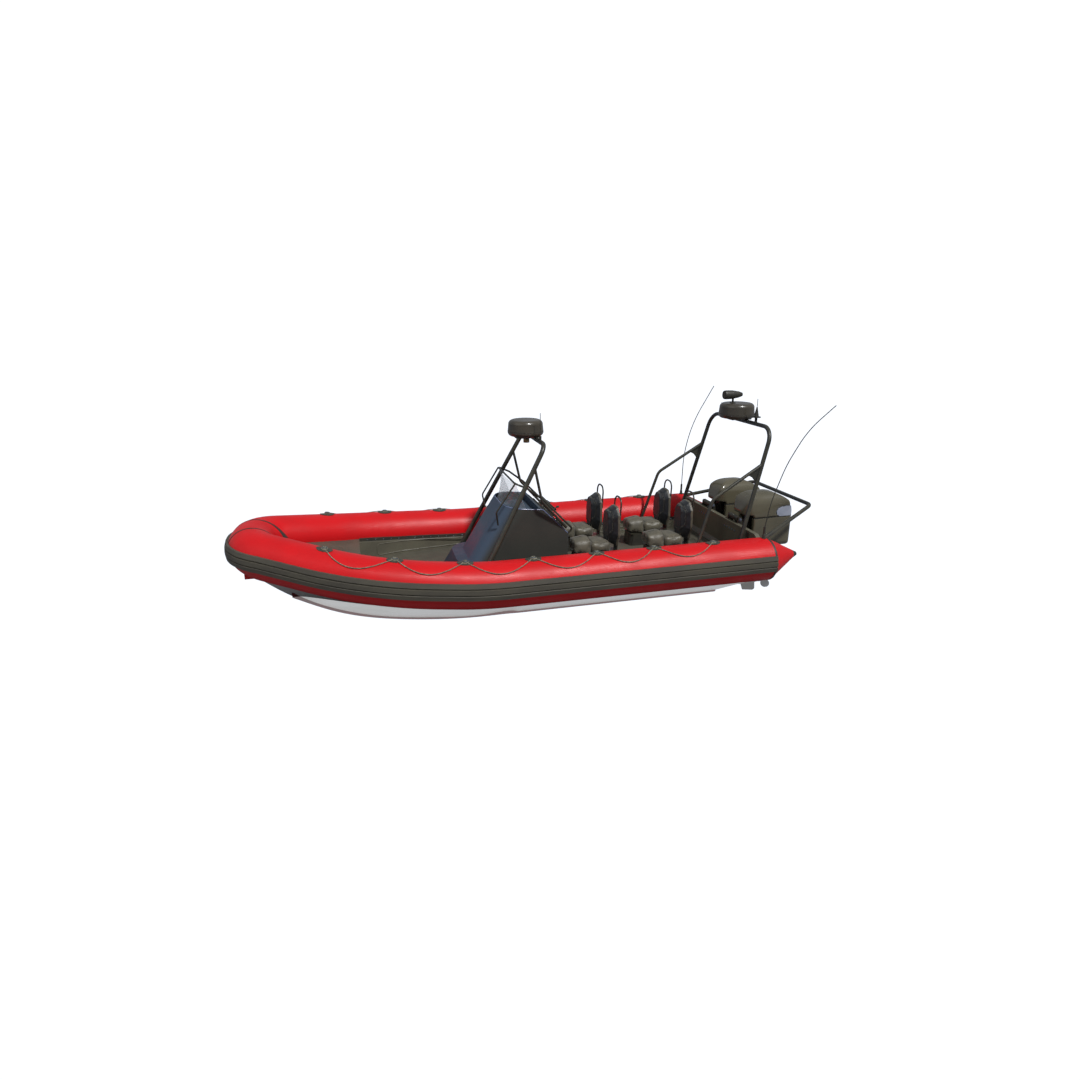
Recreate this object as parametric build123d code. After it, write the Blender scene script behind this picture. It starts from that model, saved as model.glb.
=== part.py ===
# Open rigid inflatable workboat with twin outboard engines.
# Millimetres. +X is forward, +Y is port, +Z is up.
# The origin lies amidships on the centreline, in the plane of the waterline.
from build123d import *
import math
import os

# Inflated collar
COLLAR_R = 285.0          # radius of the inflated tube
COLLAR_Y = 1225.0         # half spacing of the straight tubes
COLLAR_Z = 375.0          # height of the straight tubes' axis
STERN_X = -3100.0         # seam between a side tube and its stern cone
NOSE_X = 3375.0           # axis of the blunt nose
NOSE_RISE = 345.0         # how much higher the nose lies than the stern
NOSE_SEAM_Y = 380.0       # seams of the nose panel
NOSE_BEND_R = 440.0       # axis radius of the two nose corners
SIDE_BEND_R = 3900.0      # axis radius of the long side bends
SHEER_X = (700.0, 1584.0, 2277.0)       # corners of the axis polygon
SHEER_Y = (1225.0, 1111.0, 886.0)
SHEER_RISE = (0.0, 62.0, 145.0)
NOSE_CORNER_Y = 309.0
CONE_LENGTH = 395.0
CONE_TIP_R = 58.0
CONE_TIP_RISE = 30.0
CAP_LENGTH = 65.0
CAP_TIP_R = 26.0

# Rubbing strake
STRAKE_LOW_DEG = -16.0
STRAKE_HIGH_DEG = 25.0
STRAKE_WEB = 14.0         # thickness between the ribs
STRAKE_RIB = 32.0         # thickness at the ribs
STRAKE_RIBS = 3
RIB_SLOPE_DEG = 2.0

# Hull and decks
HULL_AFT_X = -3090.0
TRANSOM_T = 60.0
WALL_DROP = 85.0          # hull wall top below the collar axis
RAIL_DROP = 45.0          # height of the rail at the collar's inner side
VOID_OFFSET = 310.0       # cockpit edge, measured inwards from the collar axis
LINER_T = 40.0
RAIL_T = 30.0
SOLE_Z = 200.0
SOLE_T = 30.0
STEP_X = 2120.0           # aft face of the bow deck's riser
RISER_T = 30.0
BOW_DECK_END_X = 3060.0
KEEL_STRIP_W = 90.0
KEEL_STRIP_T = 24.0

# Hull stations: x, keel height, chine half breadth, chine height
HULL_STATIONS = (
    (HULL_AFT_X, -560.0, 930.0, -60.0),
    (0.0, -560.0, 930.0, -60.0),
    (500.0, -556.0, 925.0, -57.0),
    (1000.0, -535.0, 898.0, -36.0),
    (1500.0, -482.0, 820.0, 8.0),
    (2000.0, -396.0, 690.0, 82.0),
    (2500.0, -240.0, 480.0, 190.0),
    (2980.0, -5.0, 190.0, 340.0),
    (3130.0, 98.0, 105.0, 392.0),
    (3340.0, 262.0, 30.0, 430.0),
)
KEEL_STRIP_STATIONS = 8   # the strip ends where the stem begins

# Transom board
TRANSOM_TOP_Z = 660.0
TRANSOM_HALF = 1085.0

# Console
CONSOLE_HALF = 480.0
CONSOLE_CORNER_R = 290.0  # rounding of the two front corners, seen from above
CONSOLE_TOE_X = 835.0     # foot of the leaning front
CONSOLE_LEAN = 0.64       # run aft for each unit of height
CONSOLE_FRONT_Z = 1095.0
CONSOLE_AFT_X = -590.0
DASH_TOP = (-245.0, 1050.0)
DASH_FOOT_Z = 705.0
CONSOLE_WALL = 14.0
PLINTH_RISE = 185.0
PLINTH_REACH = 150.0

# Helm
HELM_Y = -200.0
HELM_STANDOFF = 115.0
WHEEL_R = 150.0
WHEEL_GRIP_R = 12.0
HELM_SHAFT_R = 12.0
RUNNING_GAP = 0.05        # radial clearance of a running fit

# Mast and stern arch
MAST_R = 30.0
BRACE_R = 17.0
MAST_FOOT = (677.0, 786.0)
MAST_TOP = (-248.0, 579.0, 1910.0)
RADOME_H = 205.0
MAST_RADOME_R = 235.0
MAST_RADOME_X = -136.0
ARCH_R = 28.0
ARCH_FOOT = (-2868.0, 905.0)
ARCH_TOP = (-3286.0, 815.0, 2032.0)
ARCH_RADOME_R = 247.0
ARCH_RADOME_X = -3214.0
STRUT_R = 22.0
STRUT_FOOT_X = -2225.0
STRUT_BEND = (-2465.0, 866.0, 1136.0)
FOOT_FLANGE_R = 62.0
FOOT_FLANGE_T = 12.0

# Seats
SEAT_Y = 355.0
SEAT_ROWS_X = (-1190.0, -2254.0)    # front face of each row's backrest
SEAT_POD_H = 190.0

# Engines
ENGINE_Y = 390.0
TILT_X = -3100.0
TILT_Z = 715.0
TILT_TUBE_R = 20.0
STEER_X = -3300.0
KINGPIN_R = 24.0
SHAFT_Z = -270.0
GEARCASE_R = 56.0
GEARCASE_NOSE_X = -3165.0
GEARCASE_END_X = -3575.0
PROP_R = 165.0
PROP_HUB_R = 46.0
PROP_X = -3645.0
COWL_SEAM_Z = 731.0

AXIS_POINTS = (
    [(STERN_X, COLLAR_Y, COLLAR_Z)]
    + [(x, y, COLLAR_Z + rise) for x, y, rise in zip(SHEER_X, SHEER_Y, SHEER_RISE)]
    + [(NOSE_X, NOSE_CORNER_Y, COLLAR_Z + NOSE_RISE), (NOSE_X, 0.0, COLLAR_Z + NOSE_RISE)]
)


def mirrored(shape):
    """The same shape on the other side of the centreline."""
    return mirror(shape, about=Plane.XZ)


def gather(shapes):
    """Separate solids that are kept in one sub-part."""
    solids = []
    for shape in shapes:
        solids.extend(shape.solids())
    return Compound(children=solids)


def pair(shape):
    """A shape and its mirror image in one sub-part."""
    return gather([shape, mirrored(shape)])


def write(node, shape):
    export_step(shape, f"parts/{node}.step")


def rod(points, radius, bends=None):
    """Round tube along straight runs that are joined by tangent arcs."""
    if len(points) == 2:
        path = Line(*points)
    else:
        path = FilletPolyline(*points, radius=bends)
    section = Plane(origin=path @ 0, z_dir=path % 0) * Circle(radius)
    return sweep(section, path=path)


def disc(x, y, z, radius, height):
    """Upright disc that stands on z."""
    return Pos(x, y, z) * Cylinder(radius, height, align=(Align.CENTER, Align.CENTER, Align.MIN))


def profile_xz(points, half_width):
    """Side profile, a list of (x, z), given a thickness across the boat."""
    face = make_face(Polyline(*[(x, 0, z) for x, z in points], close=True))
    return extrude(face, amount=half_width, dir=(0, 1, 0), both=True)


def profile_xy(points, low, high):
    """Plan outline, a list of (x, y), given a height from low to high."""
    face = make_face(Polyline(*[(x, y, low) for x, y in points], close=True))
    return extrude(face, amount=high - low, dir=(0, 0, 1))


def box(low, high):
    """Box between two corners."""
    size = [b - a for a, b in zip(low, high)]
    centre = [(a + b) / 2 for a, b in zip(low, high)]
    return Pos(*centre) * Box(*size)


def axis_at(x):
    """Half breadth and height of the collar's axis polygon at a station."""
    for (x0, y0, z0), (x1, y1, z1) in zip(AXIS_POINTS, AXIS_POINTS[1:]):
        if x0 <= x <= x1 and x1 > x0:
            t = (x - x0) / (x1 - x0)
            return y0 + t * (y1 - y0), z0 + t * (z1 - z0)
    raise ValueError("station outside the collar")


def inner_route(offset, end_x):
    """Axis polygon moved towards the centreline, from the stern to end_x."""
    headings = []
    corners = AXIS_POINTS[:5]
    for (x0, y0, _), (x1, y1, _) in zip(corners, corners[1:]):
        headings.append(math.atan2(y1 - y0, x1 - x0))
    route = [(HULL_AFT_X + TRANSOM_T, COLLAR_Y - offset, COLLAR_Z)]
    for (x, y, z), before, after in zip(corners[1:4], headings, headings[1:]):
        middle = (before + after) / 2
        reach = offset / math.cos((after - before) / 2)
        route.append((x + reach * math.sin(middle), y - reach * math.cos(middle), z))
    x, y, z = route[-1]
    slope_y = (corners[4][1] - corners[3][1]) / (corners[4][0] - corners[3][0])
    slope_z = (corners[4][2] - corners[3][2]) / (corners[4][0] - corners[3][0])
    if end_x > x:
        route.append((end_x, y + slope_y * (end_x - x), z + slope_z * (end_x - x)))
    else:
        px, py, pz = route[-2]
        t = (end_x - px) / (x - px)
        route[-1] = (end_x, py + t * (y - py), pz + t * (z - pz))
    return route


def plan_between(offset, end_x, low, high):
    """Slab inside the collar, edged by inner_route on both sides."""
    route = [(x, y) for x, y, _ in inner_route(offset, end_x)]
    outline = route + [(x, -y) for x, y in reversed(route)]
    return profile_xy(outline, low, high)


# Collar: side tubes, nose panel and stern cones
axis_path = FilletPolyline(*AXIS_POINTS, radius=[SIDE_BEND_R] * 3 + [NOSE_BEND_R])
half_collar = sweep(Plane(origin=axis_path @ 0, z_dir=axis_path % 0) * Circle(COLLAR_R), path=axis_path)
nose_zone = box((2500, -NOSE_SEAM_Y, -500), (4200, NOSE_SEAM_Y, 1500))
collar_port = half_collar - nose_zone
nose_half = half_collar & nose_zone
collar_nose = nose_half + mirrored(nose_half)
write("collar_port", collar_port)
write("collar_starboard", mirrored(collar_port))
write("collar_nose", collar_nose)

cone_x = STERN_X - CONE_LENGTH
cone_z = COLLAR_Z + CONE_TIP_RISE
stern_plane = Plane(origin=(STERN_X, COLLAR_Y, COLLAR_Z), z_dir=(-1, 0, 0))
tip_plane = Plane(origin=(cone_x, COLLAR_Y, cone_z), z_dir=(-1, 0, 0))
end_plane = Plane(origin=(cone_x - CAP_LENGTH, COLLAR_Y, cone_z), z_dir=(-1, 0, 0))
stern_cone = loft([stern_plane * Circle(COLLAR_R), tip_plane * Circle(CONE_TIP_R)])
cone_cap = loft([tip_plane * Circle(CONE_TIP_R), end_plane * Circle(CAP_TIP_R)])
write("stern_cones", pair(stern_cone))
write("cone_caps", pair(cone_cap))


def polar(radius, degrees):
    """Point of a collar section: outward and upward distances."""
    angle = math.radians(degrees)
    return radius * math.cos(angle), radius * math.sin(angle)


def strake_section():
    """Ribbed outer strip whose inner side fits the tube."""
    pitch = (STRAKE_HIGH_DEG - STRAKE_LOW_DEG) / STRAKE_RIBS
    outer = [polar(COLLAR_R, STRAKE_LOW_DEG)]
    for rib in range(STRAKE_RIBS):
        start = STRAKE_LOW_DEG + rib * pitch
        outer.append(polar(COLLAR_R + STRAKE_WEB, start))
        outer.append(polar(COLLAR_R + STRAKE_RIB, start + RIB_SLOPE_DEG))
        outer.append(polar(COLLAR_R + STRAKE_RIB, start + pitch - RIB_SLOPE_DEG))
    outer.append(polar(COLLAR_R + STRAKE_WEB, STRAKE_HIGH_DEG))
    outer.append(polar(COLLAR_R, STRAKE_HIGH_DEG))
    middle = polar(COLLAR_R, (STRAKE_LOW_DEG + STRAKE_HIGH_DEG) / 2)
    return make_face([Polyline(*outer), ThreePointArc(outer[-1], middle, outer[0])])


strake_plane = Plane(origin=AXIS_POINTS[0], x_dir=(0, 1, 0), z_dir=(1, 0, 0))
guide_path = Pos(0, 0, 1000) * axis_path
half_strake = sweep(strake_plane * strake_section(), path=axis_path, binormal=guide_path)
write("rubbing_strake", half_strake + mirrored(half_strake))

# Hull: V bottom from the transom to the stem, cut to seat the collar
def hull_section(x, keel_z, chine_y, chine_z):
    axis_y, axis_z = axis_at(x)
    shoulder = (axis_y - 0.45 * COLLAR_R, axis_z - 0.80 * COLLAR_R)
    top = (axis_y - 0.92 * COLLAR_R, axis_z - WALL_DROP)
    half = [(chine_y, chine_z), shoulder, top]
    ring = [(0.0, keel_z)] + half + [(-y, z) for y, z in reversed(half)]
    return make_face(Polyline(*[(x, y, z) for y, z in ring], close=True))


sections = [hull_section(*station) for station in HULL_STATIONS]
hull_raw = loft(sections[:2], ruled=True) + loft(sections[1:])
cockpit_void = plan_between(VOID_OFFSET, STEP_X, SOLE_Z - SOLE_T, 1500)
whole_collar = half_collar + mirrored(half_collar)
hull = hull_raw - whole_collar - cockpit_void
write("hull", hull)

# Keel strip, seated on the V by cutting it with the hull
def strip_section(x, keel_z, *_):
    half = KEEL_STRIP_W / 2
    ring = [(0, keel_z - KEEL_STRIP_T), (half, keel_z), (half, keel_z + 70), (-half, keel_z + 70), (-half, keel_z)]
    return make_face(Polyline(*[(x, y, z) for y, z in ring], close=True))


strips = [strip_section(*station) for station in HULL_STATIONS[:KEEL_STRIP_STATIONS]]
keel_strip = (loft(strips[:2], ruled=True) + loft(strips[1:])) - hull_raw
write("keel_strip", keel_strip)

# Cockpit sole, side liners, collar rails and bow deck
sole = plan_between(VOID_OFFSET, STEP_X, SOLE_Z - SOLE_T, SOLE_Z)
write("cockpit_sole", sole)

liner_end_x = STEP_X - RISER_T
liner_line = [(x, z - RAIL_DROP) for x, _, z in inner_route(VOID_OFFSET, liner_end_x)]
liner_side = profile_xz([(liner_line[0][0], SOLE_Z)] + liner_line + [(liner_end_x, SOLE_Z)], 1400)
liner_band = (plan_between(VOID_OFFSET, liner_end_x, SOLE_Z, 900)
              - plan_between(VOID_OFFSET + LINER_T, liner_end_x + 1, SOLE_Z - 1, 901))
liner_port = (liner_band & liner_side) & box((-4000, 0, 0), (4000, 2000, 2000))
liner_port = liner_port - hull - half_collar
write("side_liners", pair(liner_port))

rail_line = [(x, z) for x, _, z in inner_route(COLLAR_R, liner_end_x)]
rail_side = profile_xz(rail_line + [(x, z - RAIL_DROP) for x, z in reversed(rail_line)], 1400)
rail_band = plan_between(COLLAR_R, liner_end_x, SOLE_Z, 900) - plan_between(
    COLLAR_R + RAIL_T, liner_end_x + 1, SOLE_Z - 1, 901)
rail_port = (rail_band & rail_side) & box((-4000, 0, 0), (4000, 2000, 2000))
rail_port = rail_port - half_collar - hull - liner_port
write("collar_rails", pair(rail_port))

deck_axis = [(x, axis_at(x)[1]) for x in (liner_end_x, SHEER_X[2], BOW_DECK_END_X)]
deck_side = profile_xz(
    [(liner_end_x, SOLE_Z), (STEP_X, SOLE_Z), (STEP_X, axis_at(STEP_X)[1] - WALL_DROP)]
    + [(x, z - WALL_DROP) for x, z in deck_axis[1:]] + [(x, z) for x, z in reversed(deck_axis)], 1400)
bow_deck = (deck_side & plan_between(0.9 * COLLAR_R, BOW_DECK_END_X, 0, 1500)) - whole_collar - hull
write("bow_deck", bow_deck)

# Towing block under the nose
nose_under = COLLAR_Z + NOSE_RISE - COLLAR_R
tow_block = box((3393, -52, nose_under - 135), (3515, 52, nose_under + 100)) - collar_nose
write("tow_block", tow_block)

# Transom board between the tubes
transom_outline = [(-TRANSOM_HALF, SOLE_Z), (TRANSOM_HALF, SOLE_Z), (TRANSOM_HALF, TRANSOM_TOP_Z - 35),
                   (TRANSOM_HALF - 60, TRANSOM_TOP_Z), (-TRANSOM_HALF + 60, TRANSOM_TOP_Z),
                   (-TRANSOM_HALF, TRANSOM_TOP_Z - 35)]
transom_face = make_face(Polyline(*[(HULL_AFT_X, y, z) for y, z in transom_outline], close=True))
transom = extrude(transom_face, amount=TRANSOM_T, dir=(1, 0, 0)) - whole_collar - hull
write("transom", transom)

# Console: a leaning half-round column cut by its sloping top and dash
front_run = CONSOLE_FRONT_Z - SOLE_Z


def console_outline(inset, toe_x, aft_x):
    """Bluff front with rounded corners and straight sides, seen from above."""
    half = CONSOLE_HALF - inset
    nose = toe_x - inset
    corner = CONSOLE_CORNER_R - inset
    straight_x = nose - corner
    diagonal = corner * math.sqrt(0.5)
    return make_face([
        Line((aft_x, -half), (straight_x, -half)),
        ThreePointArc((straight_x, -half), (straight_x + diagonal, corner - half - diagonal), (nose, corner - half)),
        Line((nose, corner - half), (nose, half - corner)),
        ThreePointArc((nose, half - corner), (straight_x + diagonal, half - corner + diagonal), (straight_x, half)),
        Line((straight_x, half), (aft_x, half)),
        Line((aft_x, half), (aft_x, -half)),
    ])


def leaning(inset, toe_x, aft_x, low, high):
    """Column over the console's outline that leans aft as it rises."""
    face = Pos(-CONSOLE_LEAN * (low - SOLE_Z), 0, low) * console_outline(inset, toe_x, aft_x)
    rise = high - low
    length = rise * math.hypot(1, CONSOLE_LEAN)
    return extrude(face, amount=length, dir=(-CONSOLE_LEAN, 0, 1))


front_top_x = CONSOLE_TOE_X - CONSOLE_LEAN * front_run
console_profile = profile_xz([(CONSOLE_AFT_X, SOLE_Z), (1200, SOLE_Z), (front_top_x + 60, CONSOLE_FRONT_Z + 20),
                              (front_top_x, CONSOLE_FRONT_Z), DASH_TOP, (CONSOLE_AFT_X, DASH_FOOT_Z)], 1400)
console_outer = leaning(0, CONSOLE_TOE_X, -1500, SOLE_Z, 1300) & console_profile
well_profile = profile_xz([(-215, 960), (front_top_x + 60, 960), (front_top_x + 60, 1300), (-215, 1300)], 1400)
console_well = leaning(CONSOLE_WALL, CONSOLE_TOE_X, -1500, SOLE_Z, 1300) & well_profile
write("console", console_outer - console_well)

plinth = leaning(0, CONSOLE_TOE_X + PLINTH_REACH, -100, SOLE_Z, SOLE_Z + PLINTH_RISE) - console_outer
write("console_plinth", plinth)

dash_dx = DASH_TOP[0] - CONSOLE_AFT_X
dash_dz = DASH_TOP[1] - DASH_FOOT_Z
dash_length = math.hypot(dash_dx, dash_dz)
dash_normal = (-dash_dz / dash_length, dash_dx / dash_length)
dash_centre = ((DASH_TOP[0] + CONSOLE_AFT_X) / 2, (DASH_TOP[1] + DASH_FOOT_Z) / 2)
dash_plane = Plane(origin=(dash_centre[0], 0, dash_centre[1]), x_dir=(0, 1, 0),
                   z_dir=(dash_normal[0], 0, dash_normal[1]))
dash_panel = extrude(dash_plane * RectangleRounded(2 * CONSOLE_HALF - 90, dash_length - 70, 30), amount=12)
helm_plane = Plane(origin=(dash_centre[0], HELM_Y, dash_centre[1]), x_dir=(0, 1, 0),
                   z_dir=(dash_normal[0], 0, dash_normal[1]))
write("dash_panel", dash_panel)

# Helm: fixed bearing on the dash, turning wheel on its shaft
bearing = extrude(helm_plane.offset(12) * Circle(45), amount=60) - extrude(
    helm_plane.offset(30) * Circle(HELM_SHAFT_R + RUNNING_GAP), amount=60)
write("helm_bearing", bearing)
wheel_plane = helm_plane.offset(HELM_STANDOFF)
grip = wheel_plane * Torus(WHEEL_R, WHEEL_GRIP_R)
hub = extrude(helm_plane.offset(HELM_STANDOFF - 32) * Circle(38), amount=44)
shaft = extrude(helm_plane.offset(34) * Circle(HELM_SHAFT_R), amount=HELM_STANDOFF - 34)
wheel = grip + hub + shaft
for turn in (90, 210, 330):
    spoke = wheel_plane * Rot(0, 0, turn) * Pos(WHEEL_R / 2 + 8, 0, 0) * Box(WHEEL_R - 26, 26, 8)
    wheel = wheel + spoke
write("helm_wheel", wheel)

# Windscreen and the tube rails round the console
RAIL_TOP = (135.0, 520.0, 1431.0)
GRAB_R = 11.0
screen_points = [(-560, 452, 668), (-650, 478, 765), (-480, 504, 940), (-230, 520, 1200), (-20, 520, 1360), RAIL_TOP]
screen_path = screen_points + [(x, -y, z) for x, y, z in reversed(screen_points)]
screen_rail = rod(screen_path, GRAB_R + 2, [40] + [60] * 8 + [40]) - console_outer
grab_port = rod([(RAIL_TOP[0] - 4, RAIL_TOP[1] - 4, RAIL_TOP[2] - 2), (375, 488, 1060), (345, 440, 880)], GRAB_R, [70])
grab_port = grab_port - console_outer
screen_frame = screen_rail + grab_port + mirrored(grab_port)
write("screen_frame", screen_frame)

SCREEN_T = 8.0


def screen_strip(x_side, x_mid, half, z_side, z_mid):
    """Bowed band that one edge of the screen follows."""
    outer = ThreePointArc((x_side, -half, z_side), (x_mid, 0, z_mid), (x_side, half, z_side))
    inner = ThreePointArc((x_side - SCREEN_T, half, z_side), (x_mid - SCREEN_T, 0, z_mid),
                          (x_side - SCREEN_T, -half, z_side))
    return make_face([outer, Line(outer @ 1, inner @ 0), inner, Line(inner @ 1, outer @ 0)])


screen = loft([screen_strip(-20, front_top_x - 2, CONSOLE_HALF - 8, CONSOLE_FRONT_Z - 40, CONSOLE_FRONT_Z - 40),
               screen_strip(RAIL_TOP[0] - 14, RAIL_TOP[0] + 20, 500, 1408, 1408)]) - console_outer
write("windscreen", screen - screen_frame)

# Mast over the console
mast_foot = (MAST_FOOT[0], MAST_FOOT[1], SOLE_Z + FOOT_FLANGE_T / 2)
mast_points = [mast_foot, MAST_TOP, (MAST_TOP[0], -MAST_TOP[1], MAST_TOP[2]), (mast_foot[0], -mast_foot[1], mast_foot[2])]
mast_legs = rod(mast_points, MAST_R, [150, 150])
lean_t = (MAST_TOP[2] - 1641) / (MAST_TOP[2] - mast_foot[2])
brace_top = tuple(a + lean_t * (b - a) for a, b in zip(MAST_TOP, mast_foot))
mast_brace = rod([brace_top, (-199, 591, 1194), (-560, CONSOLE_HALF + 8, 790)], BRACE_R, [90]) - console_outer
mast_flange = disc(MAST_FOOT[0], MAST_FOOT[1], SOLE_Z, FOOT_FLANGE_R + 15, FOOT_FLANGE_T)
under_sole = box((-4000, -2000, -500), (4000, 2000, SOLE_Z))
platform_low = MAST_TOP[2] + MAST_R - 6
mast_platform = box((MAST_RADOME_X - 160, -170, platform_low), (MAST_RADOME_X + 160, 170, platform_low + 16))
mast = (mast_legs - under_sole) + mast_brace + mirrored(mast_brace) + mast_flange + mirrored(mast_flange) + mast_platform
write("mast_arch", mast)


def radome(x, z, radius):
    """Drum with a soft shoulder, standing on z."""
    outline = [Line((0, 0), (radius - 30, 0)),
               ThreePointArc((radius - 30, 0), (radius - 6, 22), (radius, 60)),
               Line((radius, 60), (radius - 8, RADOME_H - 60)),
               ThreePointArc((radius - 8, RADOME_H - 60), (radius - 26, RADOME_H - 16), (radius - 70, RADOME_H)),
               Line((radius - 70, RADOME_H), (0, RADOME_H)), Line((0, RADOME_H), (0, 0))]
    drum = revolve(Plane.XZ * make_face(outline), axis=Axis.Z)
    return Pos(x, 0, z) * drum


write("mast_radome", radome(MAST_RADOME_X, platform_low + 16, MAST_RADOME_R))
lamp_z = platform_low - 60
mast_lamp = disc(MAST_RADOME_X - 10, 0, lamp_z - 20, 40, 50) + disc(MAST_RADOME_X - 10, 0, lamp_z + 30, 12, 30)
write("mast_lamp", mast_lamp)
whip_base_z = MAST_TOP[2] + MAST_R - 3
mast_whip = disc(MAST_TOP[0], 330, whip_base_z, 16, 50) + disc(MAST_TOP[0], 330, whip_base_z + 50, 4, 290)
write("mast_whip", mast_whip - mast_legs)

# Seats: pod, front bolster, cushion, backrest and hoop for each place
def seat_places():
    return [(x, side * SEAT_Y) for x in SEAT_ROWS_X for side in (1, -1)]


def seat_block(low, high, radius):
    """Soft block with rounded edges, in a seat's own place."""
    block = box(low, high)
    return fillet(block.edges(), radius)


SEAT_PAN_Z = SOLE_Z + SEAT_POD_H
pod_side = [(205, SOLE_Z), (492, SOLE_Z), (470, SEAT_PAN_Z - 16), (225, SEAT_PAN_Z - 16)]
pod = profile_xz(pod_side, 150)
pod = chamfer(pod.edges().filter_by(GeomType.LINE).filter_by(lambda e: abs(e.tangent_at(0).Z) > 0.9), 38)
bolster_face = make_face([
    Line((-180, 0), (180, 0)), Line((180, 0), (150, 180)),
    ThreePointArc((150, 180), (0, 222), (-150, 180)), Line((-150, 180), (-180, 0))])
bolster = extrude(Plane(origin=(287, 0, SEAT_PAN_Z + 0.5), x_dir=(0, 1, 0), z_dir=(1, 0, 0)) * bolster_face, amount=220, taper=8)
cushion = seat_block((0, -184, SEAT_PAN_Z + 0.5), (284, 184, SEAT_PAN_Z + 160), 55)
back_face = make_face([
    Line((-195, 20), (-120, -92)), Line((-120, -92), (120, -92)), Line((120, -92), (195, 20)),
    Line((195, 20), (178, 250)), Line((178, 250), (95, 350)), ThreePointArc((95, 350), (0, 364), (-95, 350)),
    Line((-95, 350), (-178, 250)), Line((-178, 250), (-195, 20))])
SEAT_BACK_X = -118.0
back_plane = Plane(origin=(SEAT_BACK_X, 0, 655), x_dir=(0, 1, 0), z_dir=(1, 0, 0))
seat_back = extrude(back_plane * back_face, amount=142, taper=12)
strap_x = SEAT_BACK_X - 0.5
pan = box((-60, -150, SEAT_PAN_Z - 16), (478, 150, SEAT_PAN_Z))
strap = profile_xz([(-58, SEAT_PAN_Z - 16), (strap_x - 14, SEAT_PAN_Z - 16), (strap_x - 14, 880), (strap_x, 880),
                    (strap_x, SEAT_PAN_Z), (-58, SEAT_PAN_Z)], 60)
post = disc(20, 0, SOLE_Z, 22, SEAT_PAN_Z - SOLE_Z - 10) + disc(20, 0, SOLE_Z, 48, 8)
hoop_x = strap_x - 12
hoop_points = [(hoop_x, 118, 800), (hoop_x - 14, 118, 1122), (hoop_x - 14, -118, 1122), (hoop_x, -118, 800)]
seat_hoop = rod(hoop_points, 11, [95, 95]) + rod([hoop_points[0], hoop_points[3]], 11)
seat_frame = pan + strap + post + seat_hoop
SEAT_PIECES = (("seat_pods", pod), ("seat_bolsters", bolster), ("seat_cushions", cushion),
               ("seat_backs", seat_back - seat_frame), ("seat_frames", seat_frame))
for node, shape in SEAT_PIECES:
    write(node, gather([Pos(x, y, 0) * shape for x, y in seat_places()]))

# Stern arch with struts and gussets
rail_top_z = COLLAR_Z
arch_foot = (ARCH_FOOT[0], ARCH_FOOT[1], rail_top_z + 6)
arch_points = [arch_foot, ARCH_TOP, (ARCH_TOP[0], -ARCH_TOP[1], ARCH_TOP[2]), (arch_foot[0], -arch_foot[1], arch_foot[2])]
arch_legs = rod(arch_points, ARCH_R, [210, 210])


def on_arch(z):
    """Point of the port leg's axis at a height."""
    t = (z - arch_foot[2]) / (ARCH_TOP[2] - arch_foot[2])
    return tuple(a + t * (b - a) for a, b in zip(arch_foot, ARCH_TOP))


strut_foot = (STRUT_FOOT_X, ARCH_FOOT[1], rail_top_z + 6)
strut = rod([strut_foot, STRUT_BEND, on_arch(1560)], STRUT_R, [160])
gusset_corners = [on_arch(1570), (-2960, on_arch(1420)[1], 1430), (-3030, on_arch(1400)[1], 1395), on_arch(1310)]
gusset_face = make_face(Polyline(*[(x, 0, z) for x, _, z in gusset_corners], close=True))
gusset = Pos(0, on_arch(1450)[1], 0) * extrude(gusset_face, amount=5, dir=(0, 1, 0), both=True)
arch_feet = [disc(x, ARCH_FOOT[1], rail_top_z, FOOT_FLANGE_R, FOOT_FLANGE_T) for x in (ARCH_FOOT[0], STRUT_FOOT_X)]
foot_blocks = [box((x - 60, ARCH_FOOT[1] - 60, rail_top_z - RAIL_DROP), (x + 60, COLLAR_Y - COLLAR_R - RAIL_T, rail_top_z))
               for x in (ARCH_FOOT[0], STRUT_FOOT_X)]
arch_half = strut + gusset
for piece in arch_feet + foot_blocks:
    arch_half = arch_half + piece
arch_plate_low = ARCH_TOP[2] + ARCH_R - 6
arch_plate = box((ARCH_RADOME_X - 150, -160, arch_plate_low), (ARCH_RADOME_X + 150, 160, arch_plate_low + 14))
arch_half = arch_half - half_collar - rail_port - liner_port
write("stern_arch", arch_legs + arch_half + mirrored(arch_half) + arch_plate)
write("stern_radome", radome(ARCH_RADOME_X, arch_plate_low + 14, ARCH_RADOME_R))

lamp_base = arch_plate_low + 14 + RADOME_H
LIGHT_Z = lamp_base + 115
light_outline = [(0, -3000), (58, -3000), (62, -3030), (60, -3120), (44, -3220), (26, -3275), (0, -3283)]
light_face = make_face(Polyline(*[(x, 0, r) for r, x in light_outline], close=True))
search_body = revolve(light_face, axis=Axis.X)
searchlight = Pos(0, 0, LIGHT_Z) * search_body + disc(-3140, 0, lamp_base, 14, 70) + disc(-3140, 0, lamp_base, 40, 10)
write("searchlight", searchlight)
bar_top = ARCH_TOP[2] + ARCH_R
cone_antenna = (disc(ARCH_TOP[0], 400, bar_top - 4, 18, 64) + disc(ARCH_TOP[0], 400, bar_top + 60, 62, 10)
                + Pos(ARCH_TOP[0], 400, bar_top + 70) * Cone(34, 8, 130, align=(Align.CENTER, Align.CENTER, Align.MIN))
                + disc(ARCH_TOP[0], 400, bar_top + 200, 4, 110))
write("cone_antenna", cone_antenna - arch_legs)
stub_antenna = disc(ARCH_TOP[0], -560, bar_top - 3, 14, 60) + disc(ARCH_TOP[0], -560, bar_top + 57, 7, 90)
write("stub_antenna", stub_antenna - arch_legs)

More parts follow.
